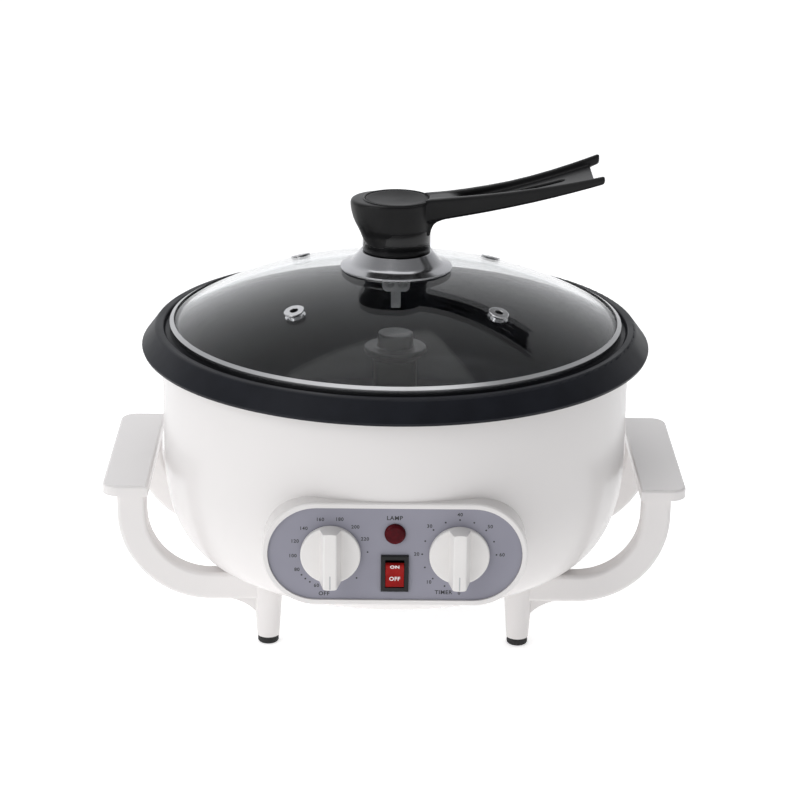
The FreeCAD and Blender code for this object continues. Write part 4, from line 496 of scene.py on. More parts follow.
@dataclass(frozen=True)
class Station:
    """A cross-section of a swept bar: its middle and its half sizes."""

    middle: Point
    half_y: float
    half_z: float

    @classmethod
    def between(cls, along: float, across: float, half_y: float, low: float, high: float) -> "Station":
        """Returns a section given by its lower and upper edge, all in millimetres."""
        middle = (along * MM, across * MM, (low + high) / 2 * MM)
        return cls(middle, half_y * MM, (high - low) / 2 * MM)


class Bench:
    """Models one piece at a time with Blender's own operators."""

    @staticmethod
    def clear() -> None:
        """Goes back to object mode with nothing selected."""
        if bpy.context.object is not None and bpy.context.object.mode != "OBJECT":
            bpy.ops.object.mode_set(mode="OBJECT")
        bpy.ops.object.select_all(action="DESELECT")

    @classmethod
    def take(cls, piece: Piece) -> None:
        """Makes a piece the only one selected."""
        cls.clear()
        piece.select_set(True)
        bpy.context.view_layer.objects.active = piece

    @classmethod
    def open(cls, piece: Piece, kind: Select = Select.FACE) -> None:
        """Opens a piece in edit mode with nothing picked."""
        cls.take(piece)
        bpy.ops.object.mode_set(mode="EDIT")
        bpy.ops.mesh.select_mode(type=kind.value)
        bpy.ops.mesh.select_all(action="DESELECT")

    @staticmethod
    def close() -> None:
        """Leaves edit mode."""
        bpy.ops.object.mode_set(mode="OBJECT")

    @staticmethod
    def pick_edges(piece: Piece, wanted: Callable[[Vector, Vector], bool]) -> None:
        """Picks the edges of the open piece whose two ends pass the test."""
        mesh = bmesh.from_edit_mesh(piece.data)
        for edge in mesh.edges:
            edge.select_set(wanted(edge.verts[0].co, edge.verts[1].co))
        bmesh.update_edit_mesh(piece.data)

    @staticmethod
    def pick_points(piece: Piece, wanted: Callable[[Vector], bool]) -> None:
        """Picks the vertices of the open piece that pass the test."""
        mesh = bmesh.from_edit_mesh(piece.data)
        for point in mesh.verts:
            point.select_set(wanted(point.co))
        mesh.select_flush(True)
        bmesh.update_edit_mesh(piece.data)

    @staticmethod
    def push(value: Point) -> None:
        """Extrudes what is picked by a step."""
        bpy.ops.mesh.extrude_region_move(TRANSFORM_OT_translate={"value": value})

    @classmethod
    def sweep(cls, stations: Sequence[Station]) -> Piece:
        """Draws a bar out along the stations, one extrusion after another.

        Args:
            stations: Middle and half sizes across, first to last along X.

        Returns:
            The closed bar.
        """
        cls.clear()
        first = stations[0]
        bpy.ops.mesh.primitive_plane_add(size=2.0, location=first.middle, rotation=(0.0, math.pi / 2, 0.0))
        bar = bpy.context.active_object
        cls.seat(bar, Matrix.Identity(4))
        middle = Vector(first.middle)
        fit = Matrix.Translation(middle) @ Matrix.Diagonal((1.0, first.half_y, first.half_z, 1.0))
        bar.data.transform(fit @ Matrix.Translation(-middle))
        cls.open(bar)
        bpy.ops.mesh.select_all(action="SELECT")
        for last, station in zip(stations, stations[1:]):
            cls.push(tuple(Vector(station.middle) - Vector(last.middle)))
            grow = (1.0, station.half_y / last.half_y, station.half_z / last.half_z)
            bpy.ops.transform.resize(value=grow, center_override=station.middle)
        bpy.ops.mesh.select_all(action="DESELECT")
        bpy.ops.mesh.select_mode(type="EDGE")
        bpy.ops.mesh.select_non_manifold()
        bpy.ops.mesh.edge_face_add()
        bpy.ops.mesh.select_all(action="SELECT")
        bpy.ops.mesh.normals_make_consistent(inside=False)
        cls.close()
        return bar

    @classmethod
    def turn(cls, outline: Outline, steps: int = 96) -> Piece:
        """Turns an outline of radius and height once round the upright axis.

        Args:
            outline: Radius and height of its points in millimetres, from one end to the other.
            steps: Faces round.

        Returns:
            The turned piece.
        """
        cls.clear()
        points = [(radius * MM, height * MM) for radius, height in outline]
        bpy.ops.mesh.primitive_plane_add(size=MM, location=(points[0][0], 0.0, points[0][1]))
        piece = bpy.context.active_object
        cls.seat(piece, Matrix.Identity(4))
        cls.open(piece, Select.VERT)
        bpy.ops.mesh.select_all(action="SELECT")
        bpy.ops.mesh.merge(type="CENTER")
        for (radius, height), (next_radius, next_height) in zip(points, points[1:]):
            cls.push((next_radius - radius, 0.0, next_height - height))
        bpy.ops.mesh.select_all(action="SELECT")
        bpy.ops.mesh.spin(steps=steps, angle=2.0 * math.pi, center=(0.0, 0.0, 0.0), axis=(0.0, 0.0, 1.0))
        bpy.ops.mesh.select_all(action="SELECT")
        bpy.ops.mesh.remove_doubles(threshold=WELD_TURNED)
        bpy.ops.mesh.normals_make_consistent(inside=False)
        cls.close()
        return piece

    @classmethod
    def modify(cls, piece: Piece, kind: str, **settings: object) -> None:
        """Adds a modifier of Blender's kind to a piece, sets its properties and applies it."""
        cls.take(piece)
        added = piece.modifiers.new(kind.lower(), kind)
        for key, value in settings.items():
            setattr(added, key, value)
        bpy.ops.object.modifier_apply(modifier=added.name)

    @classmethod
    def cut(cls, piece: Piece, tool: Piece) -> None:
        """Cuts one piece with another and takes the tool away."""
        cls.modify(piece, "BOOLEAN", operation="DIFFERENCE", solver="EXACT", object=tool)
        bpy.data.objects.remove(tool)

    @classmethod
    def soften(cls, piece: Piece, width: float, rounds: int, angle: float) -> None:
        """Rounds the edges of a piece that are sharper than the angle in degrees."""
        limit = math.radians(angle)
        cls.modify(piece, "BEVEL", width=width, segments=rounds, limit_method="ANGLE", angle_limit=limit)

    @classmethod
    def join(cls, pieces: Sequence[Piece]) -> Piece:
        """Joins pieces into the first one and returns it."""
        cls.clear()
        for piece in pieces:
            piece.select_set(True)
        bpy.context.view_layer.objects.active = pieces[0]
        bpy.ops.object.join()
        return pieces[0]

    @staticmethod
    def seat(piece: Piece, place: Matrix) -> None:
        """Moves a piece in its mesh and leaves its object at the origin."""
        piece.data.transform(place @ piece.matrix_world)
        piece.matrix_world = Matrix.Identity(4)

    @classmethod
    def copy(cls, piece: Piece, place: Matrix) -> Piece:
        """Returns a copy with its own mesh, moved by place."""
        made = piece.copy()
        made.data = piece.data.copy()
        bpy.context.scene.collection.objects.link(made)
        cls.seat(made, place)
        return made

    @classmethod
    def finish(
        cls, piece: Piece, name: str, material: bpy.types.Material, body: str, slot: str,
        smooth: float = 35.0,
    ) -> None:
        """Seats, closes, shades and dresses a piece, and sets it on its body.

        Args:
            piece: The modelled piece.
            name: Its name.
            material: Its finish.
            body: The body that it rides on.
            slot: The record's material slot; not used.
            smooth: Edges flatter than this many degrees are shaded smooth.
        """
        cls.seat(piece, Matrix.Identity(4))
        cls.open(piece)
        bpy.ops.mesh.select_all(action="SELECT")
        bpy.ops.mesh.remove_doubles(threshold=WELD_PIECE)
        bpy.ops.mesh.normals_make_consistent(inside=False)
        cls.close()
        bpy.ops.object.shade_smooth_by_angle(angle=math.radians(smooth))
        piece.name = name
        piece.data.name = name
        piece.data.materials.clear()
        piece.data.materials.append(material)
        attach(piece, body)
        log.info("made %s on %s", name, body)


# ---- printing
class Print(Enum):
    """Sizes of the printed letters, as the height of a capital in millimetres."""

    SCALE = 1.9
    WORD = 2.2
    LAMP = 2.3


@dataclass
class Lettering:
    """Sets words and dots as thin ink."""

    depth: float = 0.03 * MM
    spacing: float = 1.12
    weight: float = 0.025
    curve_steps: int = 4
    capital_share: float = 0.7
    dot_sides: int = 16
    dot_rim: float = 0.92

    def word(self, text: str, tall: float, place: Matrix) -> Piece:
        """Sets one word, centred on its place.

        Args:
            text: What it says.
            tall: Height of a capital, in millimetres.
            place: Where it goes; the word stands in the place's XY plane.

        Returns:
            The word as a mesh.
        """
        Bench.clear()
        bpy.ops.object.text_add(location=(0.0, 0.0, 0.0))
        made = bpy.context.active_object
        made.data.body = text
        made.data.align_x = "CENTER"
        made.data.align_y = "CENTER"
        made.data.size = 1.0
        made.data.space_character = self.spacing
        made.data.offset = self.weight
        made.data.resolution_u = self.curve_steps
        bpy.ops.object.convert(target="MESH")
        scale = tall * MM / self.capital_share
        thick = Matrix.Diagonal((scale, scale, scale, 1.0))
        Bench.seat(made, place @ thick)
        Bench.open(made)
        bpy.ops.mesh.select_all(action="SELECT")
        out = place.to_3x3() @ Vector((0.0, 0.0, self.depth))
        Bench.push(tuple(out))
        Bench.close()
        return made

    def dot(self, radius: float, place: Matrix) -> Piece:
        """Sets one round dot with a soft rim.

        Args:
            radius: Its radius in millimetres.
            place: Where it goes.

        Returns:
            The dot as a mesh.
        """
        Bench.clear()
        bpy.ops.mesh.primitive_circle_add(
            vertices=self.dot_sides, radius=radius * MM, fill_type="NGON", location=(0.0, 0.0, 0.0))
        made = bpy.context.active_object
        Bench.open(made)
        bpy.ops.mesh.select_all(action="SELECT")
        Bench.push((0.0, 0.0, self.depth))
        rim = (self.dot_rim, self.dot_rim, 1.0)
        bpy.ops.transform.resize(value=rim, center_override=(0.0, 0.0, self.depth))
        Bench.close()
        Bench.seat(made, place)
        return made


# Front of the grey panel, in millimetres.
PANEL_FACE_Y: float = -135.0
# A printed text, its angle in degrees and its reach from the knob's axis in millimetres.
Mark = tuple[str, float, float]


def upright(across: float, up: float) -> Matrix:
    """Returns a place on the face of the panel that looks to the front, in millimetres."""
    stand = Matrix.Rotation(math.pi / 2, 4, "X")
    return Matrix.Translation((across * MM, PANEL_FACE_Y * MM, up * MM)) @ stand


@dataclass
class Dial:
    """A printed scale round one knob, in millimetres and degrees."""

    rack: FinishRack
    name: str
    middle_x: float
    numbers: tuple[Mark, ...]
    dots: tuple[float, ...]
    word: Mark
    middle_z: float = 88.0
    dot_reach: float = 20.0
    dot_radius: float = 0.5

    def _place(self, angle: float, reach: float) -> Matrix:
        """Returns the place at an angle clockwise from straight down, at a reach from the knob's axis."""
        turn = math.radians(angle)
        across = self.middle_x - reach * math.sin(turn)
        up = self.middle_z - reach * math.cos(turn)
        return upright(across, up)

    def build(self) -> None:
        """Prints the scale."""
        pen = Lettering()
        marks = [
            pen.word(text, Print.SCALE.value, self._place(angle, reach))
            for text, angle, reach in self.numbers]
        marks += [pen.dot(self.dot_radius, self._place(angle, self.dot_reach)) for angle in self.dots]
        text, angle, reach = self.word
        marks.append(pen.word(text, Print.WORD.value, self._place(angle, reach)))
        Bench.finish(Bench.join(marks), self.name, self.rack.get(BLACK_INK), "base", "black_plastic")


@dataclass
class PanelPrinting:
    """Everything printed on the grey panel and on the rocker, in millimetres and degrees."""

    rack: FinishRack
    knob_x: float = 34.7
    lamp_place: tuple[float, float] = (-0.3, 108.7)
    pivot: Point = (0.0, -134.4, 77.0)
    rocker_tilt: float = 11.0
    rocker_slope: float = 11.0
    rocker_middle: float = 2.6
    rocker_rise: float = 1.4
    rocker_half: float = 7.2
    ink_gap: float = 0.03
    on_reach: float = 5.9
    off_reach: float = 2.2

    def build(self) -> None:
        """Prints both scales, the lamp's word and the rocker's words."""
        self._temperature().build()
        self._timer().build()
        lamp = Lettering().word("LAMP", Print.LAMP.value, upright(*self.lamp_place))
        Bench.finish(lamp, "lamp_word", self.rack.get(BLACK_INK), "base", "black_plastic")
        words = [
            self._rocker_word("ON", 1.0, self.on_reach), self._rocker_word("OFF", -1.0, self.off_reach)]
        white = self.rack.get(WHITE_INK)
        Bench.finish(Bench.join(words), "rocker_words", white, "power_rocker", "red_rocker")

    def _temperature(self) -> Dial:
        """Returns the temperature scale, to 220 degrees."""
        angles = (62.2, 85.7, 110.0, 134.9, 164.1, 193.6, 220.8, 245.3)
        numbers = [(str(80 + 20 * i), angle, 20.4) for i, angle in enumerate(angles)]
        numbers.append(("60", 21.8, 20.2))
        dots = (33.6, 42.4, 51.1, 267.1, 315.0)
        return Dial(self.rack, "temperature_scale", -self.knob_x, tuple(numbers), dots, ("OFF", 8.3, 23.7))

    def _timer(self) -> Dial:
        """Returns the timer's scale, to 60 minutes."""
        numbers = [(str(10 * (i + 1)), 45.0 * (i + 1), 23.0) for i in range(6)]
        numbers.append(("0", 359.4, 22.6))
        dots = tuple(22.5 * (i + 1) for i in range(12))
        return Dial(self.rack, "timer_scale", self.knob_x, tuple(numbers), dots, ("TIMER", 20.3, 23.7))

    def _rocker_word(self, text: str, side: float, reach: float) -> Piece:
        """Sets a word on one half of the rocker.

        Args:
            text: What it says.
            side: 1 for the upper half, -1 for the lower one.
            reach: How far from the rocker's middle, in millimetres.

        Returns:
            The word as a mesh.
        """
        out = self.rocker_middle + self.rocker_rise * reach / self.rocker_half + self.ink_gap
        pivot = Matrix.Translation(Vector(self.pivot) * MM)
        tilt = Matrix.Rotation(math.radians(self.rocker_tilt), 4, "X")
        half = Matrix.Translation((0.0, -out * MM, side * reach * MM))
        lean = Matrix.Rotation(math.radians(side * self.rocker_slope + 90.0), 4, "X")
        return Lettering().word(text, Print.WORD.value, pivot @ tilt @ half @ lean)


# ---- lid knob
@dataclass
class LidKnob:
    """Black knob of the lid: post, head with a thumb lip, and a long channelled arm, in millimetres.

    A side of the arm is given by its height at the post's axis, its slope and its bend.
    """

    rack: FinishRack
    foot: float = 220.0
    head: float = 250.4
    step: float = 233.6
    radius: float = 19.5
    edge: float = 0.5
    collar_radius: float = 19.4
    collar_wall: float = 1.4
    post_inset: float = 0.7
    post_lift: float = 0.6
    cap_radius: float = 18.4
    cap_depth: float = 2.5
    cap_clearance: float = 4.0
    ring_crest: float = 0.4
    grain: float = 0.55
    polish_rounds: int = 7
    kept_share: float = 0.55
    lip: tuple[tuple[float, float], ...] = (
        (226.0, 18.8), (228.5, 19.9), (231.0, 20.9), (234.2, 22.4), (237.0, 23.9), (239.7, 25.0),
        (243.0, 25.9), (246.0, 26.4), (248.4, 26.5), (249.6, 26.2), (250.2, 25.5))
    lip_near: float = 0.1
    lip_pitch: float = 2.0
    lip_steps: int = 12
    lip_widening: float = 1.013
    reaches: tuple[float, ...] = (4.0, 16.0, 28.0, 40.0, 52.0, 64.0, 76.0, 88.0, 100.0, 109.0, 116.0)
    arm_top: Point = (250.5, 0.0526, 0.0009547)
    arm_low: Point = (235.6, 0.150, 0.00088)
    arm_half: float = 10.0
    arm_growth: float = 12.6
    growth_from: float = 30.0
    growth_over: float = 88.0
    growth_power: float = 1.12
    rail_width: float = 6.0
    rail_taper: float = 0.42
    rail_round: float = 1.3
    far_rise: float = 3.2
    rise_from: float = 60.0
    rise_power: float = 1.5
    rise_below: float = 0.6
    web_ends: tuple[float, ...] = (106.0, 110.5)
    web_floor: float = 0.10
    web_share: float = 0.36
    web_growth: float = 0.25
    web_inset: float = 1.8
    root_lows: tuple[tuple[float, float], ...] = (
        (0.0, 228.0), (18.8, 230.5), (19.6, 234.0), (20.6, 236.6), (22.5, 238.4), (26.0, 239.9))
    root_drops: tuple[tuple[float, float], ...] = ((30.0, 0.5), (35.0, 2.0), (38.0, 4.5))
    root_inset: float = 1.5
    root_drop: float = 0.3
    root_lift: float = 0.5
    slot: tuple[float, float, float] = (38.0, 95.0, 4.6)
    slot_clearance: float = 8.0
    slot_round: float = 0.45

    def build(self) -> None:
        """Models the knob, the ring round its cap and its collar."""
        blank = Bench.join([self._post(), self._rail(1.0), self._rail(-1.0), self._web(), self._root()])
        Bench.modify(blank, "REMESH", mode="VOXEL", voxel_size=self.grain * MM)
        Bench.cut(blank, self._slot_cutter())
        Bench.cut(blank, self._cap_cutter())
        Bench.modify(blank, "REMESH", mode="VOXEL", voxel_size=self.grain * MM)
        Bench.modify(blank, "SMOOTH", factor=0.5, iterations=self.polish_rounds)
        Bench.modify(blank, "DECIMATE", ratio=self.kept_share)
        black = self.rack.get(BLACK_PHENOLIC)
        Bench.finish(blank, "lid_knob_body", black, "lid", "black_phenolic", 60.0)
        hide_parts("lid_knob")
        ring = Bench.turn(self._ring_outline())
        Bench.finish(ring, "lid_knob_ring", black, "lid", "black_phenolic", 50.0)
        collar = Bench.turn(self._collar_outline())
        Bench.finish(collar, "lid_knob_collar", self.rack.get(BLACK_COLLAR), "lid", "black_phenolic", 40.0)

    @staticmethod
    def _curve(side: Point, along: float) -> float:
        """Returns the height of a side of the arm at a reach from the post's axis."""
        start, slope, bend = side
        return start + slope * along + bend * along * along

    def top(self, along: float) -> float:
        """Returns the height of the arm's upper side at a reach from the post's axis."""
        return self._curve(self.arm_top, along)

    def low(self, along: float) -> float:
        """Returns the height of the arm's lower side at a reach from the post's axis."""
        return self._curve(self.arm_low, along)

    def half_width(self, along: float) -> float:
        """Returns half the width of the arm at a reach from the post's axis."""
        spread = max(0.0, along - self.growth_from) / self.growth_over
        return self.arm_half + self.arm_growth * spread ** self.growth_power

    def _post(self) -> Piece:
        """Turns the post and the head, and draws the left half of the head out into the thumb lip."""
        inner, foot = self.collar_radius - self.post_inset, self.foot + self.post_lift
        outline = [(0.0, foot), (inner, foot)]
        outline += [(inner if z < self.step else self.radius, z) for z, _ in self.lip[:-1]]
        outline += [(self.radius - self.edge, self.lip[-1][0]), (0.0, self.head)]
        post = Bench.turn(outline)
        widen = (1.0, self.lip_widening, 1.0)
        Bench.open(post, Select.VERT)
        for z, reach in self.lip:
            radius = inner if z < self.step else self.radius
            steps = [(-self.lip_near, (reach / radius, 1.0, 1.0))]
            steps += [(-self.lip_pitch * i, widen) for i in range(1, self.lip_steps)]
            for left, value in steps:
                Bench.pick_points(
                    post, lambda p: p.x < left * MM and abs(p.z - z * MM) < self.lip_near * MM)
                bpy.ops.transform.resize(value=value, center_override=(0.0, 0.0, z * MM))
        Bench.close()
        return post

    def _rail(self, side: float) -> Piece:
        """Draws out one of the arm's two rails: 1 for the back one, -1 for the front one."""
        end, stations = self.reaches[-1], []
        for x in self.reaches:
            far = max(0.0, (x - self.rise_from) / (end - self.rise_from))
            half = self.rail_width / 2 * (1.0 - self.rail_taper * x / end)
            rise = self.far_rise * far ** self.rise_power if side > 0.0 else 0.0
            low, top = self.low(x) + self.rise_below * rise, self.top(x) + rise
            stations.append(Station.between(x, side * (self.half_width(x) - half), half, low, top))
        rail = Bench.sweep(stations)
        Bench.soften(rail, self.rail_round * MM, rounds=3, angle=40.0)
        return rail

    def _web(self) -> Piece:
        """Draws out the plate between the rails."""
        stations = []
        for x in self.reaches[:-2] + self.web_ends:
            tall = self.top(x) - self.low(x)
            floor = self.low(x) + self.web_floor * tall
            share = self.web_share + self.web_growth * x / self.reaches[-1]
            half = self.half_width(x) - self.web_inset
            stations.append(Station.between(x, 0.0, half, floor, floor + share * tall))
        return Bench.sweep(stations)

    def _root(self) -> Piece:
        """Fills the start of the arm, with a hollow below where it leaves the post."""
        spans = [(x, low, self.root_drop) for x, low in self.root_lows]
        spans += [(x, self.low(x) + self.root_lift, drop) for x, drop in self.root_drops]
        return Bench.sweep([
            Station.between(x, 0.0, self.half_width(x) - self.root_inset, low, self.top(x) - drop)
            for x, low, drop in spans])

    def _slot_cutter(self) -> Piece:
        """Returns the rounded bar that cuts the air slot."""
        start, end, width = self.slot
        high = self.top(end) + self.slot_clearance
        cutter = Bench.sweep([Station.between(x, 0.0, width / 2, self.foot, high) for x in (start, end)])
        Bench.open(cutter, Select.EDGE)
        Bench.pick_edges(cutter, lambda a, b: abs(a.z - b.z) > MM)
        bpy.ops.mesh.bevel(offset=width * self.slot_round * MM, segments=5)
        Bench.close()
        return cutter

    def _cap_cutter(self) -> Piece:
        """Returns the disc that makes room for the cap."""
        low, high = self.head - self.cap_depth, self.head + self.cap_clearance
        return Bench.turn([(0.0, low), (self.cap_radius, low), (self.cap_radius, high), (0.0, high)])

    def _ring_outline(self) -> Outline:
        """Returns the outline of the raised ring round the cap."""
        inner, outer, crest = self.cap_radius - 0.1, self.radius + 0.25, self.head + self.ring_crest
        return [
            (inner, self.head - 1.2), (inner, self.head), (inner + 0.25, crest - 0.1), (inner + 0.6, crest),
            (outer - 0.4, crest - 0.12), (outer - 0.1, self.head - 0.1), (outer, self.head - 0.8),
            (outer - 0.5, self.head - 1.6), (inner, self.head - 1.2)]

    def _collar_outline(self) -> Outline:
        """Returns the outline of the glossy collar at the foot of the post."""
        radius, inner = self.collar_radius, self.collar_radius - self.collar_wall
        return [
            (inner, self.foot + 0.3), (radius - 0.5, self.foot + 0.3), (radius, self.foot + 0.9),
            (radius, self.step - 0.35), (radius - 0.15, self.step), (inner, self.step + 0.1),
            (inner, self.foot + 0.3)]


# ---- small parts
@dataclass
class CrossScrews:
    """Pan-head screws with a cross recess, all alike, in millimetres."""

    rack: FinishRack
    name: str
    node: str
    body: str
    slot: str
    head_radius: float
    head_height: float
    shank_radius: float
    shank_length: float
    places: tuple[Matrix, ...]

    def build(self) -> None:
        """Models one screw and sets a copy at each place; its head points along the place's Z."""
        model = Bench.turn(self._outline(), 40)
        for turn in (0.0, math.pi / 2):
            bar = self._recess_bar()
            Bench.seat(bar, Matrix.Rotation(turn, 4, "Z"))
            Bench.cut(model, bar)
        screws = [Bench.copy(model, place) for place in self.places]
        bpy.data.objects.remove(model)
        joined = Bench.join(screws)
        Bench.finish(joined, self.name, self.rack.get(BRIGHT_ZINC), self.body, self.slot, 40.0)
        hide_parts(self.node)

    def _outline(self) -> Outline:
        """Returns the outline of the shank and the domed head."""
        radius, tall = self.head_radius, self.head_height
        return [
            (0.0, -self.shank_length), (self.shank_radius * 0.7, -self.shank_length),
            (self.shank_radius, -self.shank_length + 0.5), (self.shank_radius, 0.0), (radius - 0.1, 0.0),
            (radius, 0.15 * tall), (radius, 0.45 * tall), (radius * 0.93, 0.72 * tall),
            (radius * 0.75, 0.90 * tall), (radius * 0.4, 0.98 * tall), (0.0, tall)]

    def _recess_bar(self) -> Piece:
        """Returns the tapered bar that cuts one arm of the cross."""
        reach, half = self.head_radius * 0.62, self.head_radius * 0.13
        low, high = self.head_height * 0.35, self.head_height + 0.6
        return Bench.sweep([
            Station.between(-reach, 0.0, half * 0.7, high - 1.0, high),
            Station.between(-reach * 0.6, 0.0, half, low, high),
            Station.between(reach * 0.6, 0.0, half, low, high),
            Station.between(reach, 0.0, half * 0.7, high - 1.0, high)])


@dataclass
class KnobPointerShades:
    """Painted shade of the pointer grooves: fine grey lines on the lower ends of the two control knobs, in
    millimetres.
    """

    rack: FinishRack
    reach: float = 8.0
    half_width: float = 0.36
    end_gap: float = 0.5
    taper: float = 0.4
    end_half_width: float = 0.1
    half_depth: float = 0.03
    proud: float = 0.005

    def build(self) -> None:
        """Sets a painted shade line on each knob."""
        for body in ("temperature", "timer"):
            low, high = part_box(body + "_knob")
            top = low[2] + (self.reach + self.end_gap) * MM
            start = Vector(((low[0] + high[0]) / 2, low[1] - self.proud * MM, top))
            place = Matrix.Translation(start) @ Matrix.Rotation(math.pi / 2, 4, "Y")
            widths = (
                (0.0, self.end_half_width), (self.taper, self.half_width),
                (self.reach - self.taper, self.half_width), (self.reach, self.end_half_width))
            line = Bench.sweep([
                Station.between(x, 0.0, self.half_depth, -half, half) for x, half in widths])
            Bench.seat(line, place)
            # The grey strip paints the shade inside the knob's pointer groove.
            grey = self.rack.get(POINTER_GROOVE_SHADE)
            Bench.finish(line, body + "_pointer", grey, body + "_control", "black_plastic")


@dataclass
class KnobCap:
    """Dished disc let into the top of the lid knob, in millimetres."""

    rack: FinishRack
    top: float = 250.5
    radius: float = 18.2
    thickness: float = 2.4
    dish: float = 1.1
    dish_steps: int = 10
    chamfer: float = 0.3
    edge: float = 0.5
    edge_cut: float = 0.15

    def build(self) -> None:
        """Turns the cap."""
        low, rim = self.top - self.thickness, self.radius - self.edge
        outline = [
            (0.0, low), (self.radius - self.chamfer, low), (self.radius, low + self.chamfer),
            (self.radius, self.top - self.edge), (self.radius - self.edge_cut, self.top - self.edge_cut),
            (rim, self.top)]
        for i in range(1, self.dish_steps + 1):
            share = 1.0 - i / self.dish_steps
            outline.append((rim * share, self.top - self.dish * (1.0 - share * share)))
        cap = Bench.turn(outline)
        Bench.finish(cap, "lid_knob_cap", self.rack.get(BLACK_CAP), "lid", "black_phenolic", 50.0)
        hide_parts("knob_cap")


def screw_sets(rack: FinishRack) -> tuple[CrossScrews, ...]:
    """Returns the visible screws of the lid's block and of the bottom cover."""
    head_radius, block_head, cover_head, half_pitch = 3.0, 1.6, 1.8, 3.6
    front = Matrix.Rotation(math.pi / 2, 4, "X")
    down = Matrix.Rotation(math.pi, 4, "X")
    block_low, block_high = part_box("block_screws")
    seat_y, middle_z = block_low[1] + block_head * MM, (block_low[2] + block_high[2]) / 2
    cover_low, cover_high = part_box("cover_screws")
    circle, seat_z = cover_high[0] - head_radius * MM, cover_low[2] + cover_head * MM
    quarter = [math.radians(90.0 * i) for i in range(4)]
    return (
        CrossScrews(
            rack, "block_cross_screws", "block_screws", "lid", "satin_steel",
            head_radius=head_radius, head_height=block_head, shank_radius=1.4, shank_length=3.0,
            places=tuple(
                Matrix.Translation((x, seat_y, middle_z)) @ front
                for x in (-half_pitch * MM, half_pitch * MM))),
        CrossScrews(
            rack, "cover_cross_screws", "cover_screws", "base", "plated_steel",
            head_radius=head_radius, head_height=cover_head, shank_radius=1.5, shank_length=8.0,
            places=tuple(
                Matrix.Translation((circle * math.cos(a), circle * math.sin(a), seat_z)) @ down
                for a in quarter)),
    )


# ---- studio
@dataclass(frozen=True)
class SoftLight:
    """A soft square light: where it hangs, its side, its power in watts and what it faces."""

    name: str
    place: Point
    side: float
    power: float
    aim: Point = (0.0, 0.0, 0.12)

    def hang(self) -> None:
        """Hangs the light."""
        lamp = bpy.data.lights.new(self.name, "AREA")
        lamp.size = self.side
        lamp.energy = self.power
        holder = bpy.data.objects.new(self.name, lamp)
        holder.location = self.place
        facing = Vector(self.aim) - Vector(self.place)
        holder.rotation_euler = facing.to_track_quat("-Z", "Y").to_euler()
        bpy.context.scene.collection.objects.link(holder)


@dataclass(frozen=True)
class Glow:
    """How the light from all round changes along one axis."""

    axis: str
    low: float
    high: float
    low_strength: float
    high_strength: float


@dataclass
class Studio:
    """Pale floor, soft lights, light from all round and the camera."""

    rack: FinishRack
    lights: tuple[SoftLight, ...] = (
        SoftLight("key", (-1.55, -1.45, 1.15), side=1.3, power=13.0),
        SoftLight("top", (-0.1, 0.2, 2.0), side=1.5, power=7.0))
    glows: tuple[Glow, ...] = (
        Glow("Y", -0.1, 0.9, low_strength=0.42, high_strength=1.10),
        Glow("X", -0.1, 0.8, low_strength=1.0, high_strength=0.60))
    air_colour: Colour = (0.97, 0.98, 1.0, 1.0)
    focal: float = 112.5
    sensor: float = 36.0
    far_clip: float = 100.0
    camera_at: Point = (-0.0111, -1.3790, 0.6073)
    tilt: float = 70.87
    roll: float = 0.71
    yaw: float = -0.59
    floor_size: float = 40.0

    def build(self) -> None:
        """Makes the floor, the lights and the camera."""
        self._floor()
        for light in self.lights:
            light.hang()
        self._air()
        bpy.context.scene.view_settings.view_transform = "Standard"
        self._camera()

    def _air(self) -> None:
        """Sets soft light from all round, brightest at the back and dimmer on the right."""
        world = bpy.data.worlds.new("studio_air")
        world.use_nodes = True
        tree = world.node_tree
        place = tree.nodes.new("ShaderNodeTexCoord")
        split = tree.nodes.new("ShaderNodeSeparateXYZ")
        tree.links.new(place.outputs["Generated"], split.inputs["Vector"])
        strength = tree.nodes.new("ShaderNodeMath")
        strength.operation = "MULTIPLY"
        for target, glow in zip(strength.inputs, self.glows):
            span = tree.nodes.new("ShaderNodeMapRange")
            span.inputs["From Min"].default_value = glow.low
            span.inputs["From Max"].default_value = glow.high
            span.inputs["To Min"].default_value = glow.low_strength
            span.inputs["To Max"].default_value = glow.high_strength
            tree.links.new(split.outputs[glow.axis], span.inputs["Value"])
            tree.links.new(span.outputs["Result"], target)
        air = tree.nodes["Background"]
        air.inputs["Color"].default_value = self.air_colour
        tree.links.new(strength.outputs["Value"], air.inputs["Strength"])
        bpy.context.scene.world = world

    def _floor(self) -> None:
        """Lays the floor under the rubber feet."""
        bpy.ops.object.select_all(action="DESELECT")
        bpy.ops.mesh.primitive_plane_add(size=self.floor_size, location=(0.0, 0.0, 0.0))
        floor = bpy.context.active_object
        floor.name = "studio_floor"
        floor.data.materials.append(self.rack.get(STUDIO_FLOOR))

    def _camera(self) -> None:
        """Sets the camera."""
        data = bpy.data.cameras.new("camera")
        data.lens = self.focal
        data.sensor_width = self.sensor
        data.clip_end = self.far_clip
        holder = bpy.data.objects.new("camera", data)
        holder.location = self.camera_at
        yaw = Matrix.Rotation(math.radians(self.yaw), 3, "Z")
        tilt = Matrix.Rotation(math.radians(self.tilt), 3, "X")
        roll = Matrix.Rotation(math.radians(self.roll), 3, "Z")
        holder.rotation_euler = (yaw @ tilt @ roll).to_euler()
        bpy.context.scene.collection.objects.link(holder)
        bpy.context.scene.camera = holder


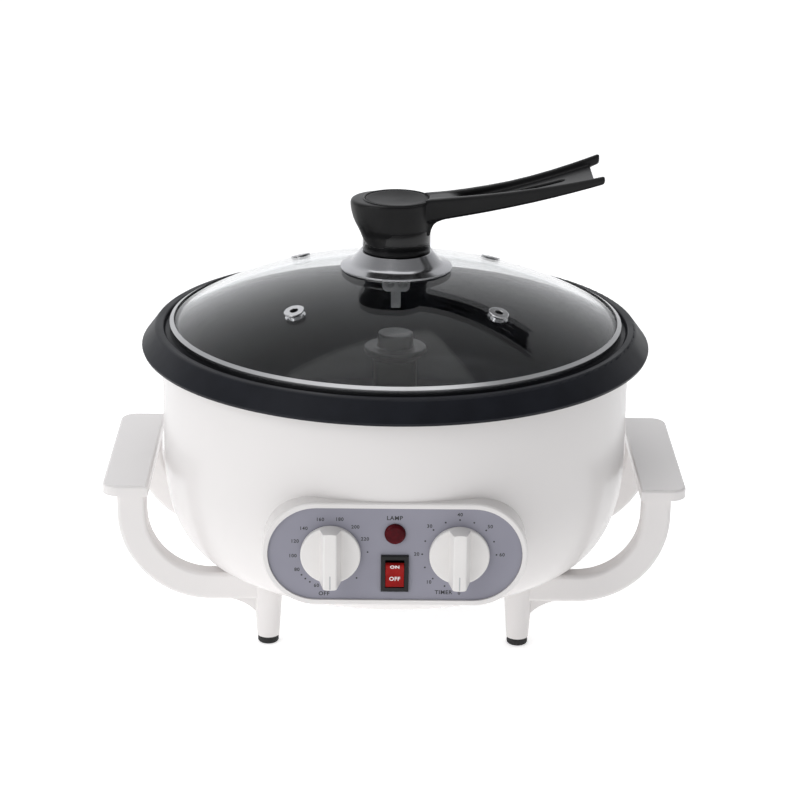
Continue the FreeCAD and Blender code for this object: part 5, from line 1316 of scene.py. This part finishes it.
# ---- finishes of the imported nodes
NODE_FINISHES: dict[Finish, tuple[str, ...]] = {
    WHITE_BODY: ("body_bowl", "side_handle_left", "side_handle_right"),
    WHITE_KNOB: ("temperature_knob", "timer_knob"),
    PAN_COATING: ("roasting_pan",),
    LID_GLASS: ("lid_glass",),
    SATIN_STEEL: ("vent_grommets",),
    RIM_STEEL: ("lid_rim",),
    CONE_STEEL: ("lid_cone",),
    BRIGHT_ZINC: ("hanger_block", "hanger_bar", "block_screws"),
    PLATED_STEEL: (
        "bottom_cover", "cover_screws", "handle_screws", "element_clamps", "support_posts", "pan_studs",
        "stud_spacers", "stud_nuts", "motor_bracket", "gear_motor", "motor_screws", "drive_shaft",
        "thermostat_bulb", "thermostat_shaft", "timer_shaft", "lid_bolt"),
    BLACK_PHENOLIC: ("lid_knob", "knob_cap"),
    GREY_FASCIA: ("control_fascia",),
    BLACK_PLASTIC: ("rocker_housing", "mains_inlet", "lamp_body"),
    RED_LENS: ("lamp_lens",),
    RED_ROCKER: ("rocker",),
    BLACK_RUBBER: ("rubber_feet",),
    HEATER_SHEATH: ("heating_element",),
    BRIGHT_SHEET: ("heat_reflector",),
    BRONZE: ("shaft_bush",),
    STIRRER_COATING: ("stirrer_hub", "stirrer_blades"),
    BEIGE_PLASTIC: ("timer_body", "thermostat_body", "terminal_block"),
    FUSE_CERAMIC: ("thermal_fuse",),
    PIN_BRASS: ("inlet_pins",),
    WHITE_WASHER: ("glass_washers",),
}


def dress_nodes(rack: FinishRack) -> None:
    """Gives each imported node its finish."""
    for finish, names in NODE_FINISHES.items():
        material = rack.get(finish)
        for name in names:
            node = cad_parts[name]
            for place in node.material_slots:
                place.material = material
            if not node.material_slots:
                node.data.materials.append(material)
            log.info("dressed %s in %s", name, finish.name)


def main() -> None:
    """Builds the studio, dresses the roaster and adds its details."""
    logging.basicConfig(level=logging.INFO, format="%(name)s: %(message)s")
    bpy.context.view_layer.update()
    rack = FinishRack()
    Studio(rack).build()
    dress_nodes(rack)
    details = (PanelPrinting(rack), KnobPointerShades(rack), LidKnob(rack), KnobCap(rack), *screw_sets(rack))
    for detail in details:
        detail.build()


if __name__ == "__main__":
    main()
